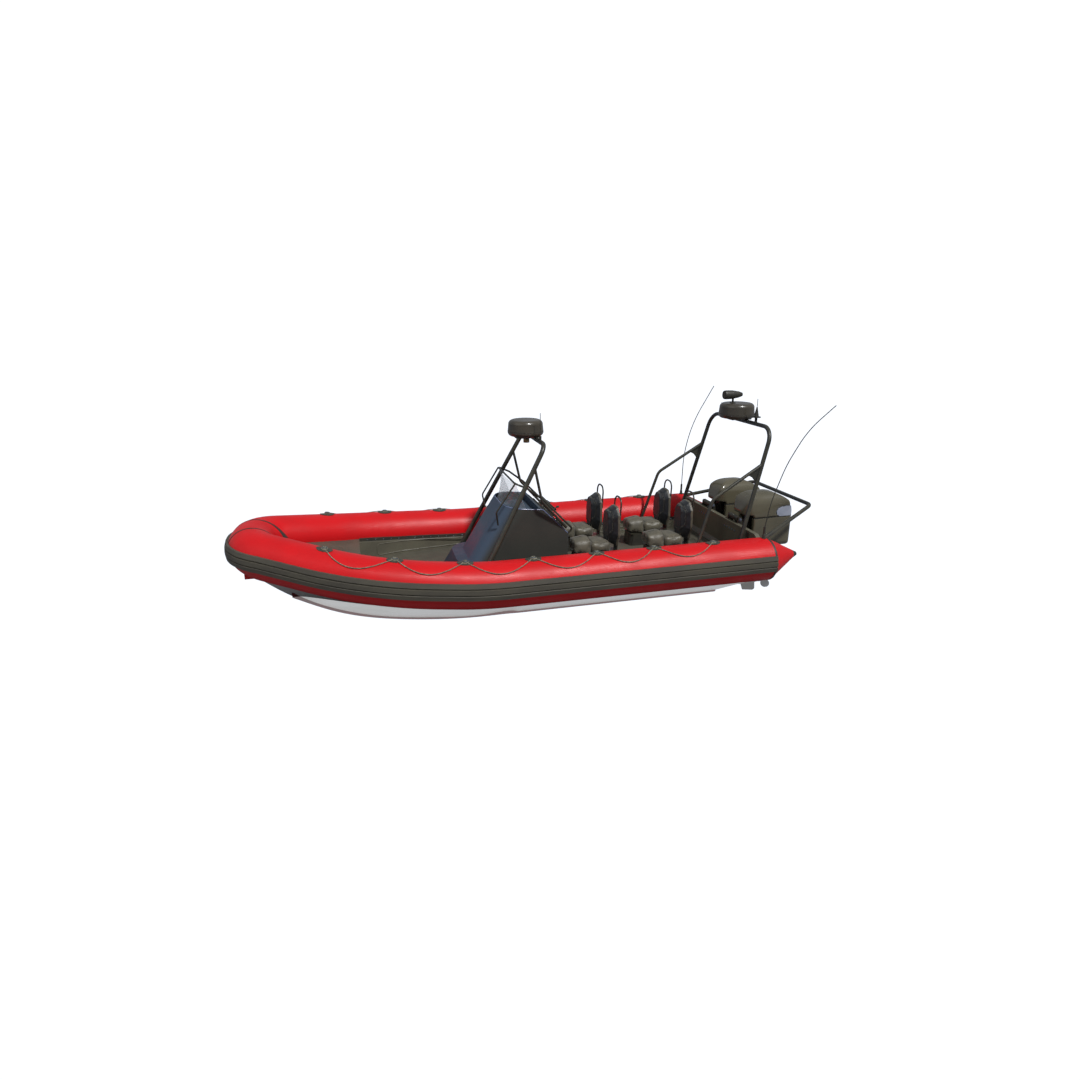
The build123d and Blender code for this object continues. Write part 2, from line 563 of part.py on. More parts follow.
# Whip antennas on the collar's crest; each leans and bends in its own way
CREST_Z = COLLAR_Z + COLLAR_R
WHIP_X = -3050.0
WHIP_R = 6.0
PORT_WHIP = [(WHIP_X, 1225, CREST_Z + 150), (-3112, 1225, 1170), (-3275, 1225, 1630), (-3530, 1225, 2060), (-3900, 1225, 2362)]
STARBOARD_WHIP = [(WHIP_X, -1225, CREST_Z + 150), (-3054, -1225, 1330), (-3180, -1225, 1830), (-3500, -1225, 2380)]
whips = []
for points, bends in ((PORT_WHIP, [1300, 1500, 1200]), (STARBOARD_WHIP, [1900, 1900])):
    whip = rod(points, WHIP_R, bends)
    socket = Pos(WHIP_X, points[0][1], CREST_Z - 10) * Cylinder(15, 172, align=(Align.CENTER, Align.CENTER, Align.MIN))
    whips.append(socket + whip - whole_collar)
write("whip_antennas", gather(whips))

# Engine guard hoop
GUARD_R = 27.0
guard_foot = (-3085, 1180, CREST_Z - 20)
guard_corner = (-4066, 740, 918)
guard_points = [guard_foot, guard_corner, (guard_corner[0], -guard_corner[1], guard_corner[2]),
                (guard_foot[0], -guard_foot[1], guard_foot[2])]
guard = rod(guard_points, GUARD_R, [110, 110]) - whole_collar - pair(stern_cone)
write("engine_guard", guard)

# Grab line pads on the collar's crest
PAD_X = (2528.0, 1733.0, 920.0, 79.0, -729.0, -1491.0, -2312.0)
PAD_T = 9.0
PAD_LENGTH = 200.0
PAD_WIDTH = 130.0


EYE_R = 34.0
EYE_TOP = 33.0
LINE_R = 6.5
LINE_LIFT = 6.0           # the line's underside above the tube between the pads
LINE_SAG_DEG = 46.0       # how far down the tube's side a loop hangs
LOOP_STATIONS = (0.10, 0.24, 0.41, 0.59, 0.76, 0.90)


def path_at(x):
    """Position along the collar's axis path at a station."""
    low, high = 0.0, 1.0
    for _ in range(40):
        middle = (low + high) / 2
        if (axis_path @ middle).X < x:
            low = middle
        else:
            high = middle
    return low


def crest_place(x):
    """Crest of the collar axis at a station, turned to the tube's heading."""
    t = path_at(x)
    along = axis_path % t
    return Plane(origin=axis_path @ t, x_dir=along, z_dir=Vector(0, 0, 1) - along * along.Z)


def on_collar(t, degrees, lift):
    """Point off the collar's surface, by angle from the outer side to the crest."""
    along = axis_path % t
    out = Vector(-along.Y, along.X, 0).normalized()
    up = along.cross(out).normalized()
    reach = COLLAR_R + lift
    angle = math.radians(degrees)
    return (axis_path @ t) + out * (reach * math.cos(angle)) + up * (reach * math.sin(angle))


def grab_line_route():
    """Corners of the line from the sternmost pad to the foremost, one loop in each gap."""
    stations = [path_at(x) for x in reversed(PAD_X)]
    route = [on_collar(stations[0], 90, PAD_T + LINE_R + 3)]
    for start, end in zip(stations, stations[1:]):
        for f in LOOP_STATIONS:
            sag = LINE_SAG_DEG * 4 * f * (1 - f)
            route.append(on_collar(start + f * (end - start), 90 - sag, LINE_R + LINE_LIFT))
        route.append(on_collar(end, 90, PAD_T + LINE_R + 3))
    return route


def easy_radii(route):
    """Largest arc that the two runs at each corner allow."""
    radii = []
    for before, corner, after in zip(route, route[1:], route[2:]):
        first, second = corner - before, after - corner
        turn = math.radians(first.get_angle(second))
        radii.append(0.45 * min(first.length, second.length) / math.tan(turn / 2))
    return radii


def grab_pad(x):
    """Oval patch that follows the tube, with a raised eye for the line."""
    shell = Rot(0, 90, 0) * (Cylinder(COLLAR_R + PAD_T, 260) - Cylinder(COLLAR_R + 0.3, 270))
    oval = extrude(Ellipse(PAD_LENGTH / 2, PAD_WIDTH / 2), amount=400)
    eye = Pos(0, 0, COLLAR_R + 4) * Cylinder(EYE_R, EYE_TOP - 4, align=(Align.CENTER, Align.CENTER, Align.MIN))
    eye = chamfer(eye.edges().sort_by(Axis.Z)[-1], 8)
    return crest_place(x) * ((shell & oval) + eye)


line_route = grab_line_route()
line_radii = easy_radii(line_route)
grab_line = rod(line_route, LINE_R, line_radii)
print("grab line radii", [round(r) for r in line_radii], "volume", round(grab_line.volume),
      "section times length", round(math.pi * LINE_R ** 2 * FilletPolyline(*line_route, radius=line_radii).length))
write("grab_line_port", grab_line)
write("grab_line_starboard", mirrored(grab_line))
pads_port = [grab_pad(x) - half_collar - grab_line for x in PAD_X]
write("grab_pads", gather(pads_port + [mirrored(pad) for pad in pads_port]))

# Engines. One engine is drawn on the centreline and placed on both sides.
clamp_plate = profile_xz([(HULL_AFT_X, 240), (HULL_AFT_X - 85, 240), (HULL_AFT_X - 80, 560), (TILT_X - 38, TILT_Z - 10),
                          (TILT_X - 22, TILT_Z + 34), (TILT_X + 22, TILT_Z + 34), (TILT_X + 36, TRANSOM_TOP_Z),
                          (HULL_AFT_X, TRANSOM_TOP_Z)], 10)
clamp = (Pos(0, 132, 0) * clamp_plate + Pos(0, -132, 0) * clamp_plate
         + box((HULL_AFT_X - 12, -142, 260), (HULL_AFT_X, 142, 630))
         + Pos(TILT_X, 0, TILT_Z) * Rot(90, 0, 0) * Cylinder(TILT_TUBE_R, 300))

swivel_tube = disc(STEER_X, 0, 302, 44, 396)
swivel_lug = Pos(TILT_X, 0, TILT_Z) * Rot(90, 0, 0) * Cylinder(38, 232)
swivel_arm = profile_xz([(TILT_X - 8, TILT_Z + 30), (TILT_X - 22, TILT_Z - 42), (STEER_X + 20, 400),
                         (STEER_X - 10, 420), (STEER_X - 10, 690), (TILT_X - 95, 690), (TILT_X - 25, TILT_Z + 24)], 60)
swivel = swivel_tube + swivel_lug + swivel_arm
swivel = swivel - disc(STEER_X, 0, 200, KINGPIN_R + RUNNING_GAP, 700)
swivel = swivel - Pos(TILT_X, 0, TILT_Z) * Rot(90, 0, 0) * Cylinder(TILT_TUBE_R + RUNNING_GAP, 400)

kingpin = disc(STEER_X, 0, 270, KINGPIN_R, 460)
yoke_top = box((-3520, -70, 704), (STEER_X + 48, 70, 762))
yoke_low = box((-3480, -60, 244), (STEER_X + 44, 60, 296))
yokes = fillet(yoke_top.edges().filter_by(Axis.Z), 30) + fillet(yoke_low.edges().filter_by(Axis.Z), 30)


def leg_slice(z, front_x, aft_x, half):
    """Streamlined section of the leg: round nose, thin tail."""
    return make_face([
        ThreePointArc((front_x - half, half, z), (front_x, 0, z), (front_x - half, -half, z)),
        Line((front_x - half, -half, z), (aft_x, -6, z)), Line((aft_x, -6, z), (aft_x, 6, z)),
        Line((aft_x, 6, z), (front_x - half, half, z))])


leg_upper = loft([leg_slice(720, -3366, -3660, 66), leg_slice(240, -3366, -3640, 60)])
leg_lower = loft([leg_slice(240, -3256, -3640, 58), leg_slice(SHAFT_Z, -3250, -3545, 34)])
vent_face = make_face([
    Line((-3280, -60), (-3640, -115)), Line((-3640, -115), (-3700, -70)), Line((-3700, -70), (-3700, 70)),
    Line((-3700, 70), (-3640, 115)), Line((-3640, 115), (-3280, 60)), Line((-3280, 60), (-3280, -60))])
vent_plate = Pos(0, 0, SHAFT_Z + PROP_R + 12) * extrude(vent_face, amount=12)
torpedo_outline = [Line((GEARCASE_END_X, 0), (GEARCASE_END_X, 42)),
                   Line((GEARCASE_END_X, 42), (-3400, GEARCASE_R)),
                   Line((-3400, GEARCASE_R), (-3290, GEARCASE_R)),
                   ThreePointArc((-3290, GEARCASE_R), (-3212, 44), (GEARCASE_NOSE_X, 10)),
                   Line((GEARCASE_NOSE_X, 10), (GEARCASE_NOSE_X, 0)),
                   Line((GEARCASE_NOSE_X, 0), (GEARCASE_END_X, 0))]
torpedo = Pos(0, 0, SHAFT_Z) * revolve(Plane.XZ * make_face(torpedo_outline), axis=Axis.X)
skeg = profile_xz([(-3290, SHAFT_Z - 40), (-3330, SHAFT_Z - 150), (-3500, SHAFT_Z - 172), (-3530, SHAFT_Z - 150),
                   (-3520, SHAFT_Z - 30)], 6)
prop_shaft = Pos((GEARCASE_END_X + PROP_X) / 2 - 20, 0, SHAFT_Z) * Rot(0, 90, 0) * Cylinder(14, 120)
leg = leg_upper + leg_lower + torpedo + skeg + vent_plate + kingpin + yokes + prop_shaft

# Cowl from three outlines: side, plan and end
cowl_side = make_face([
    Line((-3135, 0, 815), (-3175, 0, 930)),
    ThreePointArc((-3175, 0, 930), (-3260, 0, 1040), (-3400, 0, 1088)),
    ThreePointArc((-3400, 0, 1088), (-3640, 0, 1060), (-3846, 0, 952)),
    Line((-3846, 0, 952), (-3872, 0, 880)), Line((-3872, 0, 880), (-3925, 0, COWL_SEAM_Z)),
    Line((-3925, 0, COWL_SEAM_Z), (-3928, 0, 370)), ThreePointArc((-3928, 0, 370), (-3900, 0, 312), (-3835, 0, 292)),
    Line((-3835, 0, 292), (-3440, 0, 300)), Line((-3440, 0, 300), (-3440, 0, 772)),
    Line((-3440, 0, 772), (-3148, 0, 772)), Line((-3148, 0, 772), (-3135, 0, 815))])
cowl_plan = make_face([
    Line((-3300, -212), (-3840, -190)), ThreePointArc((-3840, -190), (-3905, -160), (-3928, -95)),
    Line((-3928, -95), (-3928, 95)), ThreePointArc((-3928, 95), (-3905, 160), (-3840, 190)),
    Line((-3840, 190), (-3300, 212)), ThreePointArc((-3300, 212), (-3170, 150), (-3130, 0)),
    ThreePointArc((-3130, 0), (-3170, -150), (-3300, -212))])
cowl_end = make_face([
    Line((0, -150, 280), (0, -196, 360)), Line((0, -196, 360), (0, -214, 730)),
    Line((0, -214, 730), (0, -196, 930)), ThreePointArc((0, -196, 930), (0, -120, 1050), (0, 0, 1092)),
    ThreePointArc((0, 0, 1092), (0, 120, 1050), (0, 196, 930)), Line((0, 196, 930), (0, 214, 730)),
    Line((0, 214, 730), (0, 196, 360)), Line((0, 196, 360), (0, 150, 280)), Line((0, 150, 280), (0, -150, 280))])
cowl_core = extrude(cowl_plan, amount=1300, dir=(0, 0, 1)) & extrude(cowl_end, amount=4200, dir=(-1, 0, 0))
cowl_body = extrude(cowl_side, amount=300, dir=(0, 1, 0), both=True) & cowl_core
cheeks = profile_xz([(-3282, 790), (-3282, 520), (-3330, 430), (-3460, 390), (-3460, 790)], 300)
cheeks = (cheeks & cowl_core) - box((-3450, -150, 0), (-3200, 150, 1000))
cowl_body = cowl_body + cheeks
cowl_body = cowl_body - yokes - leg_upper
seam = box((-4200, -400, COWL_SEAM_Z), (-2800, 400, 1400))
apron = cowl_body - seam
cowl_top = cowl_body & seam
panel_cut = profile_xz([(-3655, COWL_SEAM_Z + 30), (-3640, COWL_SEAM_Z + 75), (-3665, COWL_SEAM_Z + 120),
                        (-3720, COWL_SEAM_Z + 140), (-4000, COWL_SEAM_Z + 150), (-4000, COWL_SEAM_Z + 4),
                        (-3700, COWL_SEAM_Z + 4)], 400)
cowl_panel = (cowl_top & panel_cut) - box((-3800, -150, 0), (-3500, 150, 1500)) - box((-3870, -150, 0), (-3500, 150, 1500))
cowl = cowl_top - cowl_panel

blade_plane = Plane(origin=(0, 0, 0), x_dir=(1, 0, 0), z_dir=(0, 1, 0))
BLADE_PITCH = 28.0
blade = Pos(0, 0, 0.58 * PROP_R) * Rot(0, 0, BLADE_PITCH) * Rot(90, 0, 0) * extrude(
    Ellipse(62, 0.42 * PROP_R), amount=4, both=True)
propeller = Rot(0, 90, 0) * (Cylinder(PROP_HUB_R, 130) - Cylinder(14 + RUNNING_GAP, 131))
for turn in (0, 120, 240):
    propeller = propeller + Rot(turn, 0, 0) * (blade - Rot(0, 90, 0) * Cylinder(PROP_HUB_R - 6, 200))
propeller = Pos(PROP_X, 0, SHAFT_Z) * propeller

ENGINE_PIECES = (("clamp_bracket", clamp), ("swivel_bracket", swivel), ("leg", leg), ("apron", apron), ("cowl", cowl),
                 ("cowl_panel", cowl_panel), ("propeller", propeller))
for side, side_y in (("port", ENGINE_Y), ("starboard", -ENGINE_Y)):
    for name, shape in ENGINE_PIECES:
        write(f"{name}_{side}", Pos(0, side_y, 0) * shape)
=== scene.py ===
import logging
import math
from abc import ABC, abstractmethod
from dataclasses import dataclass, field
from enum import Enum
from typing import Iterable, Optional, Sequence

import bmesh
import bpy
from mathutils import Matrix, Vector
from mathutils.bvhtree import BVHTree


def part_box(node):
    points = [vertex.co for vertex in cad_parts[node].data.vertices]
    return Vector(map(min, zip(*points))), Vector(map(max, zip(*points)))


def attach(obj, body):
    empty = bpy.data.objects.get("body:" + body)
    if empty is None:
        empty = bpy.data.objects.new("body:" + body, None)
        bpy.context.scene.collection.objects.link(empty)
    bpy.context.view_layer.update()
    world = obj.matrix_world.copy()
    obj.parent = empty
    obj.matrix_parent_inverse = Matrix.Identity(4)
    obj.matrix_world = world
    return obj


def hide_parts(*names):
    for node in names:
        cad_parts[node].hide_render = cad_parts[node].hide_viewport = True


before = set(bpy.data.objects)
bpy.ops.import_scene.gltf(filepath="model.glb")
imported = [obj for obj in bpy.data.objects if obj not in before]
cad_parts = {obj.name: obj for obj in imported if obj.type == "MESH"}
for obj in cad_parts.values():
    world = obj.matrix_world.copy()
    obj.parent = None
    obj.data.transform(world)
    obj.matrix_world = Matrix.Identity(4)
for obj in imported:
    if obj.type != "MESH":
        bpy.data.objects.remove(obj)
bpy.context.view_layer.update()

log = logging.getLogger("boat")
Colour = tuple[float, float, float, float]
Point = tuple[float, float, float]

SIDES = (("port", 1.0), ("starboard", -1.0))
ENGINE_Y = 0.390
COLLAR_R = 0.285
STERN_X = -3.100
NOSE_SEAM_X, NOSE_SEAM_Y = 3.320, 0.190


def tone(red: float, green: float, blue: float) -> Colour:
    """Turn a display colour of 0 to 255 a channel into a linear shader colour.

    Args:
        red: Display value of the red channel.
        green: Display value of the green channel.
        blue: Display value of the blue channel.

    Returns:
        The linear colour with full alpha.
    """
    linear = [((c / 255 + 0.055) / 1.055) ** 2.4 if c > 10 else c / 255 / 12.92 for c in (red, green, blue)]
    return (linear[0], linear[1], linear[2], 1.0)


# Shader groups

class Graph:
    """Short way to add and link nodes in one node tree."""

    def __init__(self, tree: bpy.types.NodeTree) -> None:
        self.tree = tree

    def node(self, kind: str, settings: Optional[dict] = None, **values) -> bpy.types.Node:
        """Add a node.

        Args:
            kind: Blender's type name of the node.
            settings: Properties of the node itself.
            **values: Input sockets by name with spaces as underscores; a socket is linked, a value is set.

        Returns:
            The new node.
        """
        made = self.tree.nodes.new(kind)
        for key, value in (settings or {}).items():
            setattr(made, key, value)
        for key, value in values.items():
            target = made.inputs[int(key[1:])] if key[0] == "i" and key[1:].isdigit() else made.inputs[key.replace("_", " ")]
            if isinstance(value, bpy.types.NodeSocket):
                self.tree.links.new(value, target)
            else:
                target.default_value = value
        return made


def shader_group(name: str, inputs: Sequence[tuple[str, str, object]],
                 outputs: Sequence[tuple[str, str]]) -> tuple[bpy.types.NodeTree, Graph, dict, bpy.types.Node]:
    """Start a shader group with named sockets.

    Args:
        name: The group's name.
        inputs: Name, socket type and default of each input.
        outputs: Name and socket type of each output.

    Returns:
        The group, its graph, its input sockets by name, and the node that takes the outputs.
    """
    tree = bpy.data.node_groups.new(name, "ShaderNodeTree")
    for label, kind, default in inputs:
        tree.interface.new_socket(name=label, in_out="INPUT", socket_type=kind).default_value = default
    for label, kind in outputs:
        tree.interface.new_socket(name=label, in_out="OUTPUT", socket_type=kind)
    graph = Graph(tree)
    entry = tree.nodes.new("NodeGroupInput")
    return tree, graph, {s.name: s for s in entry.outputs}, tree.nodes.new("NodeGroupOutput")


def mottle_group() -> bpy.types.NodeTree:
    """Group that blends two colours in soft patches and gives the mask as a value."""
    tree, g, given, out = shader_group(
        "SurfaceMottle",
        [("Base", "NodeSocketColor", (0.5, 0.5, 0.5, 1)), ("Spot", "NodeSocketColor", (0.4, 0.4, 0.4, 1)),
         ("Scale", "NodeSocketFloat", 3.0), ("Stretch", "NodeSocketVector", (1.0, 1.0, 1.0))],
        [("Colour", "NodeSocketColor"), ("Mask", "NodeSocketFloat")])
    where = g.node("ShaderNodeTexCoord")
    place = g.node("ShaderNodeMapping", Vector=where.outputs["Object"], Scale=given["Stretch"])
    broad = g.node("ShaderNodeTexNoise", Vector=place.outputs[0], Scale=given["Scale"], Detail=5.0, Roughness=0.55)
    fine = g.node("ShaderNodeTexNoise", Vector=place.outputs[0], Scale=90.0, Detail=3.0)
    both = g.node("ShaderNodeMath", {"operation": "MULTIPLY_ADD"}, i0=fine.outputs[0], i1=0.25, i2=broad.outputs[0])
    mask = g.node("ShaderNodeMapRange", {"interpolation_type": "SMOOTHSTEP"}, Value=both.outputs[0], From_Min=0.48, From_Max=0.80)
    mix = g.node("ShaderNodeMix", {"data_type": "RGBA"}, Factor=mask.outputs[0], i6=given["Base"], i7=given["Spot"])
    tree.links.new(mix.outputs[2], out.inputs["Colour"])
    tree.links.new(mask.outputs[0], out.inputs["Mask"])
    return tree


def wear_group() -> bpy.types.NodeTree:
    """Group that finds worn edges by comparing the rounded normal with the true one."""
    tree, g, given, out = shader_group(
        "EdgeWear",
        [("Colour", "NodeSocketColor", (0.5, 0.5, 0.5, 1)), ("Worn", "NodeSocketColor", (0.7, 0.7, 0.7, 1)),
         ("Width", "NodeSocketFloat", 0.004), ("Amount", "NodeSocketFloat", 0.6)],
        [("Colour", "NodeSocketColor"), ("Mask", "NodeSocketFloat")])
    bevel = g.node("ShaderNodeBevel", {"samples": 4}, Radius=given["Width"])
    plain = g.node("ShaderNodeNewGeometry")
    same = g.node("ShaderNodeVectorMath", {"operation": "DOT_PRODUCT"}, i0=bevel.outputs[0], i1=plain.outputs["Normal"])
    edge = g.node("ShaderNodeMapRange", Value=same.outputs["Value"], From_Min=0.995, From_Max=0.86)
    where = g.node("ShaderNodeTexCoord")
    broken = g.node("ShaderNodeTexNoise", Vector=where.outputs["Object"], Scale=24.0, Detail=6.0)
    gate = g.node("ShaderNodeMapRange", {"interpolation_type": "SMOOTHSTEP"}, Value=broken.outputs[0], From_Min=0.38, From_Max=0.62)
    part = g.node("ShaderNodeMath", {"operation": "MULTIPLY"}, i0=edge.outputs[0], i1=gate.outputs[0])
    share = g.node("ShaderNodeMath", {"operation": "MULTIPLY", "use_clamp": True}, i0=part.outputs[0], i1=given["Amount"])
    mix = g.node("ShaderNodeMix", {"data_type": "RGBA"}, Factor=share.outputs[0], i6=given["Colour"], i7=given["Worn"])
    tree.links.new(mix.outputs[2], out.inputs["Colour"])
    tree.links.new(share.outputs[0], out.inputs["Mask"])
    return tree


def grain_group() -> bpy.types.NodeTree:
    """Group that gives the normal of a moulded or leather grain: fine cells over a soft unevenness."""
    tree, g, given, out = shader_group(
        "FineGrain",
        [("Scale", "NodeSocketFloat", 200.0), ("Height", "NodeSocketFloat", 0.0004), ("Uneven", "NodeSocketFloat", 0.001)],
        [("Normal", "NodeSocketVector"), ("Grain", "NodeSocketFloat")])
    where = g.node("ShaderNodeTexCoord")
    cells = g.node("ShaderNodeTexVoronoi", {"feature": "SMOOTH_F1"}, Vector=where.outputs["Object"], Scale=given["Scale"])
    soft = g.node("ShaderNodeTexNoise", Vector=where.outputs["Object"], Scale=7.0, Detail=3.0)
    first = g.node("ShaderNodeBump", Strength=1.0, Distance=given["Height"], Height=cells.outputs["Distance"])
    second = g.node("ShaderNodeBump", Strength=1.0, Distance=given["Uneven"], Height=soft.outputs[0], Normal=first.outputs[0])
    tree.links.new(second.outputs[0], out.inputs["Normal"])
    tree.links.new(cells.outputs["Distance"], out.inputs["Grain"])
    return tree


def weave_group() -> bpy.types.NodeTree:
    """Group that gives the normal of a coated weave: two crossing sets of threads."""
    tree, g, given, out = shader_group(
        "CoatedWeave",
        [("Scale", "NodeSocketFloat", 260.0), ("Height", "NodeSocketFloat", 0.0003), ("Uneven", "NodeSocketFloat", 0.002)],
        [("Normal", "NodeSocketVector"), ("Grain", "NodeSocketFloat")])
    where = g.node("ShaderNodeTexCoord")
    warp = g.node("ShaderNodeTexWave", {"bands_direction": "X"}, Vector=where.outputs["Object"], Scale=given["Scale"])
    weft = g.node("ShaderNodeTexWave", {"bands_direction": "DIAGONAL"}, Vector=where.outputs["Object"], Scale=given["Scale"])
    both = g.node("ShaderNodeMath", {"operation": "ADD"}, i0=warp.outputs["Fac"], i1=weft.outputs["Fac"])
    soft = g.node("ShaderNodeTexNoise", Vector=where.outputs["Object"], Scale=3.5, Detail=2.0)
    first = g.node("ShaderNodeBump", Strength=0.6, Distance=given["Height"], Height=both.outputs[0])
    second = g.node("ShaderNodeBump", Strength=0.7, Distance=given["Uneven"], Height=soft.outputs[0], Normal=first.outputs[0])
    tree.links.new(second.outputs[0], out.inputs["Normal"])
    tree.links.new(both.outputs[0], out.inputs["Grain"])
    return tree


def tread_group() -> bpy.types.NodeTree:
    """Group that gives the normal of a moulded deck: small raised diamonds."""
    tree, g, given, out = shader_group(
        "DeckTread",
        [("Scale", "NodeSocketFloat", 60.0), ("Height", "NodeSocketFloat", 0.001), ("Uneven", "NodeSocketFloat", 0.001)],
        [("Normal", "NodeSocketVector"), ("Grain", "NodeSocketFloat")])
    where = g.node("ShaderNodeTexCoord")
    turned = g.node("ShaderNodeMapping", Vector=where.outputs["Object"], Rotation=(0.0, 0.0, math.radians(45)))
    studs = g.node("ShaderNodeTexVoronoi", {"feature": "F1", "distance": "CHEBYCHEV"}, Vector=turned.outputs[0],
                   Scale=given["Scale"], Randomness=0.0)
    top = g.node("ShaderNodeMapRange", {"interpolation_type": "SMOOTHSTEP"}, Value=studs.outputs["Distance"], From_Min=0.42, From_Max=0.26)
    soft = g.node("ShaderNodeTexNoise", Vector=where.outputs["Object"], Scale=5.0)
    first = g.node("ShaderNodeBump", Strength=1.0, Distance=given["Height"], Height=top.outputs[0])
    second = g.node("ShaderNodeBump", Strength=1.0, Distance=given["Uneven"], Height=soft.outputs[0], Normal=first.outputs[0])
    tree.links.new(second.outputs[0], out.inputs["Normal"])
    tree.links.new(top.outputs[0], out.inputs["Grain"])
    return tree


def brushed_group() -> bpy.types.NodeTree:
    """Group that gives the normal of brushed or cast metal: long fine scratches."""
    tree, g, given, out = shader_group(
        "BrushedMetal",
        [("Scale", "NodeSocketFloat", 40.0), ("Height", "NodeSocketFloat", 0.0002), ("Uneven", "NodeSocketFloat", 0.0005)],
        [("Normal", "NodeSocketVector"), ("Grain", "NodeSocketFloat")])
    where = g.node("ShaderNodeTexCoord")
    drawn = g.node("ShaderNodeMapping", Vector=where.outputs["Object"], Scale=(1.0, 1.0, 24.0))
    lines = g.node("ShaderNodeTexNoise", Vector=drawn.outputs[0], Scale=given["Scale"], Detail=6.0, Roughness=0.7)
    soft = g.node("ShaderNodeTexNoise", Vector=where.outputs["Object"], Scale=12.0)
    first = g.node("ShaderNodeBump", Strength=0.8, Distance=given["Height"], Height=lines.outputs[0])
    second = g.node("ShaderNodeBump", Strength=0.8, Distance=given["Uneven"], Height=soft.outputs[0], Normal=first.outputs[0])
    tree.links.new(second.outputs[0], out.inputs["Normal"])
    tree.links.new(lines.outputs[0], out.inputs["Grain"])
    return tree


def facing_group() -> bpy.types.NodeTree:
    """Group that blends to a second colour where the surface faces one direction of the object."""
    tree, g, given, out = shader_group(
        "FacingTint",
        [("Colour", "NodeSocketColor", (0.5, 0.5, 0.5, 1)), ("Tint", "NodeSocketColor", (0.4, 0.4, 0.6, 1)),
         ("Direction", "NodeSocketVector", (1.0, 0.0, 0.0)), ("From", "NodeSocketFloat", 0.1), ("To", "NodeSocketFloat", 0.8)],
        [("Colour", "NodeSocketColor"), ("Mask", "NodeSocketFloat")])
    where = g.node("ShaderNodeTexCoord")
    toward = g.node("ShaderNodeVectorMath", {"operation": "DOT_PRODUCT"}, i0=where.outputs["Normal"], i1=given["Direction"])
    mask = g.node("ShaderNodeMapRange", {"interpolation_type": "SMOOTHSTEP"}, Value=toward.outputs["Value"],
                  From_Min=given["From"], From_Max=given["To"])
    mix = g.node("ShaderNodeMix", {"data_type": "RGBA"}, Factor=mask.outputs[0], i6=given["Colour"], i7=given["Tint"])
    tree.links.new(mix.outputs[2], out.inputs["Colour"])
    tree.links.new(mask.outputs[0], out.inputs["Mask"])
    return tree


class Relief(Enum):
    """Kinds of fine relief, each with its shader group."""

    GRAIN = "FineGrain"
    WEAVE = "CoatedWeave"
    TREAD = "DeckTread"
    BRUSHED = "BrushedMetal"


GROUP_MAKERS = {"SurfaceMottle": mottle_group, "EdgeWear": wear_group, "FineGrain": grain_group, "CoatedWeave": weave_group,
                "DeckTread": tread_group, "BrushedMetal": brushed_group, "FacingTint": facing_group}


def group_named(name: str) -> bpy.types.NodeTree:
    """Return the shader group of that name, made on its first use.

    Args:
        name: A key of GROUP_MAKERS.
    """
    return bpy.data.node_groups.get(name) or GROUP_MAKERS[name]()


# Finishes

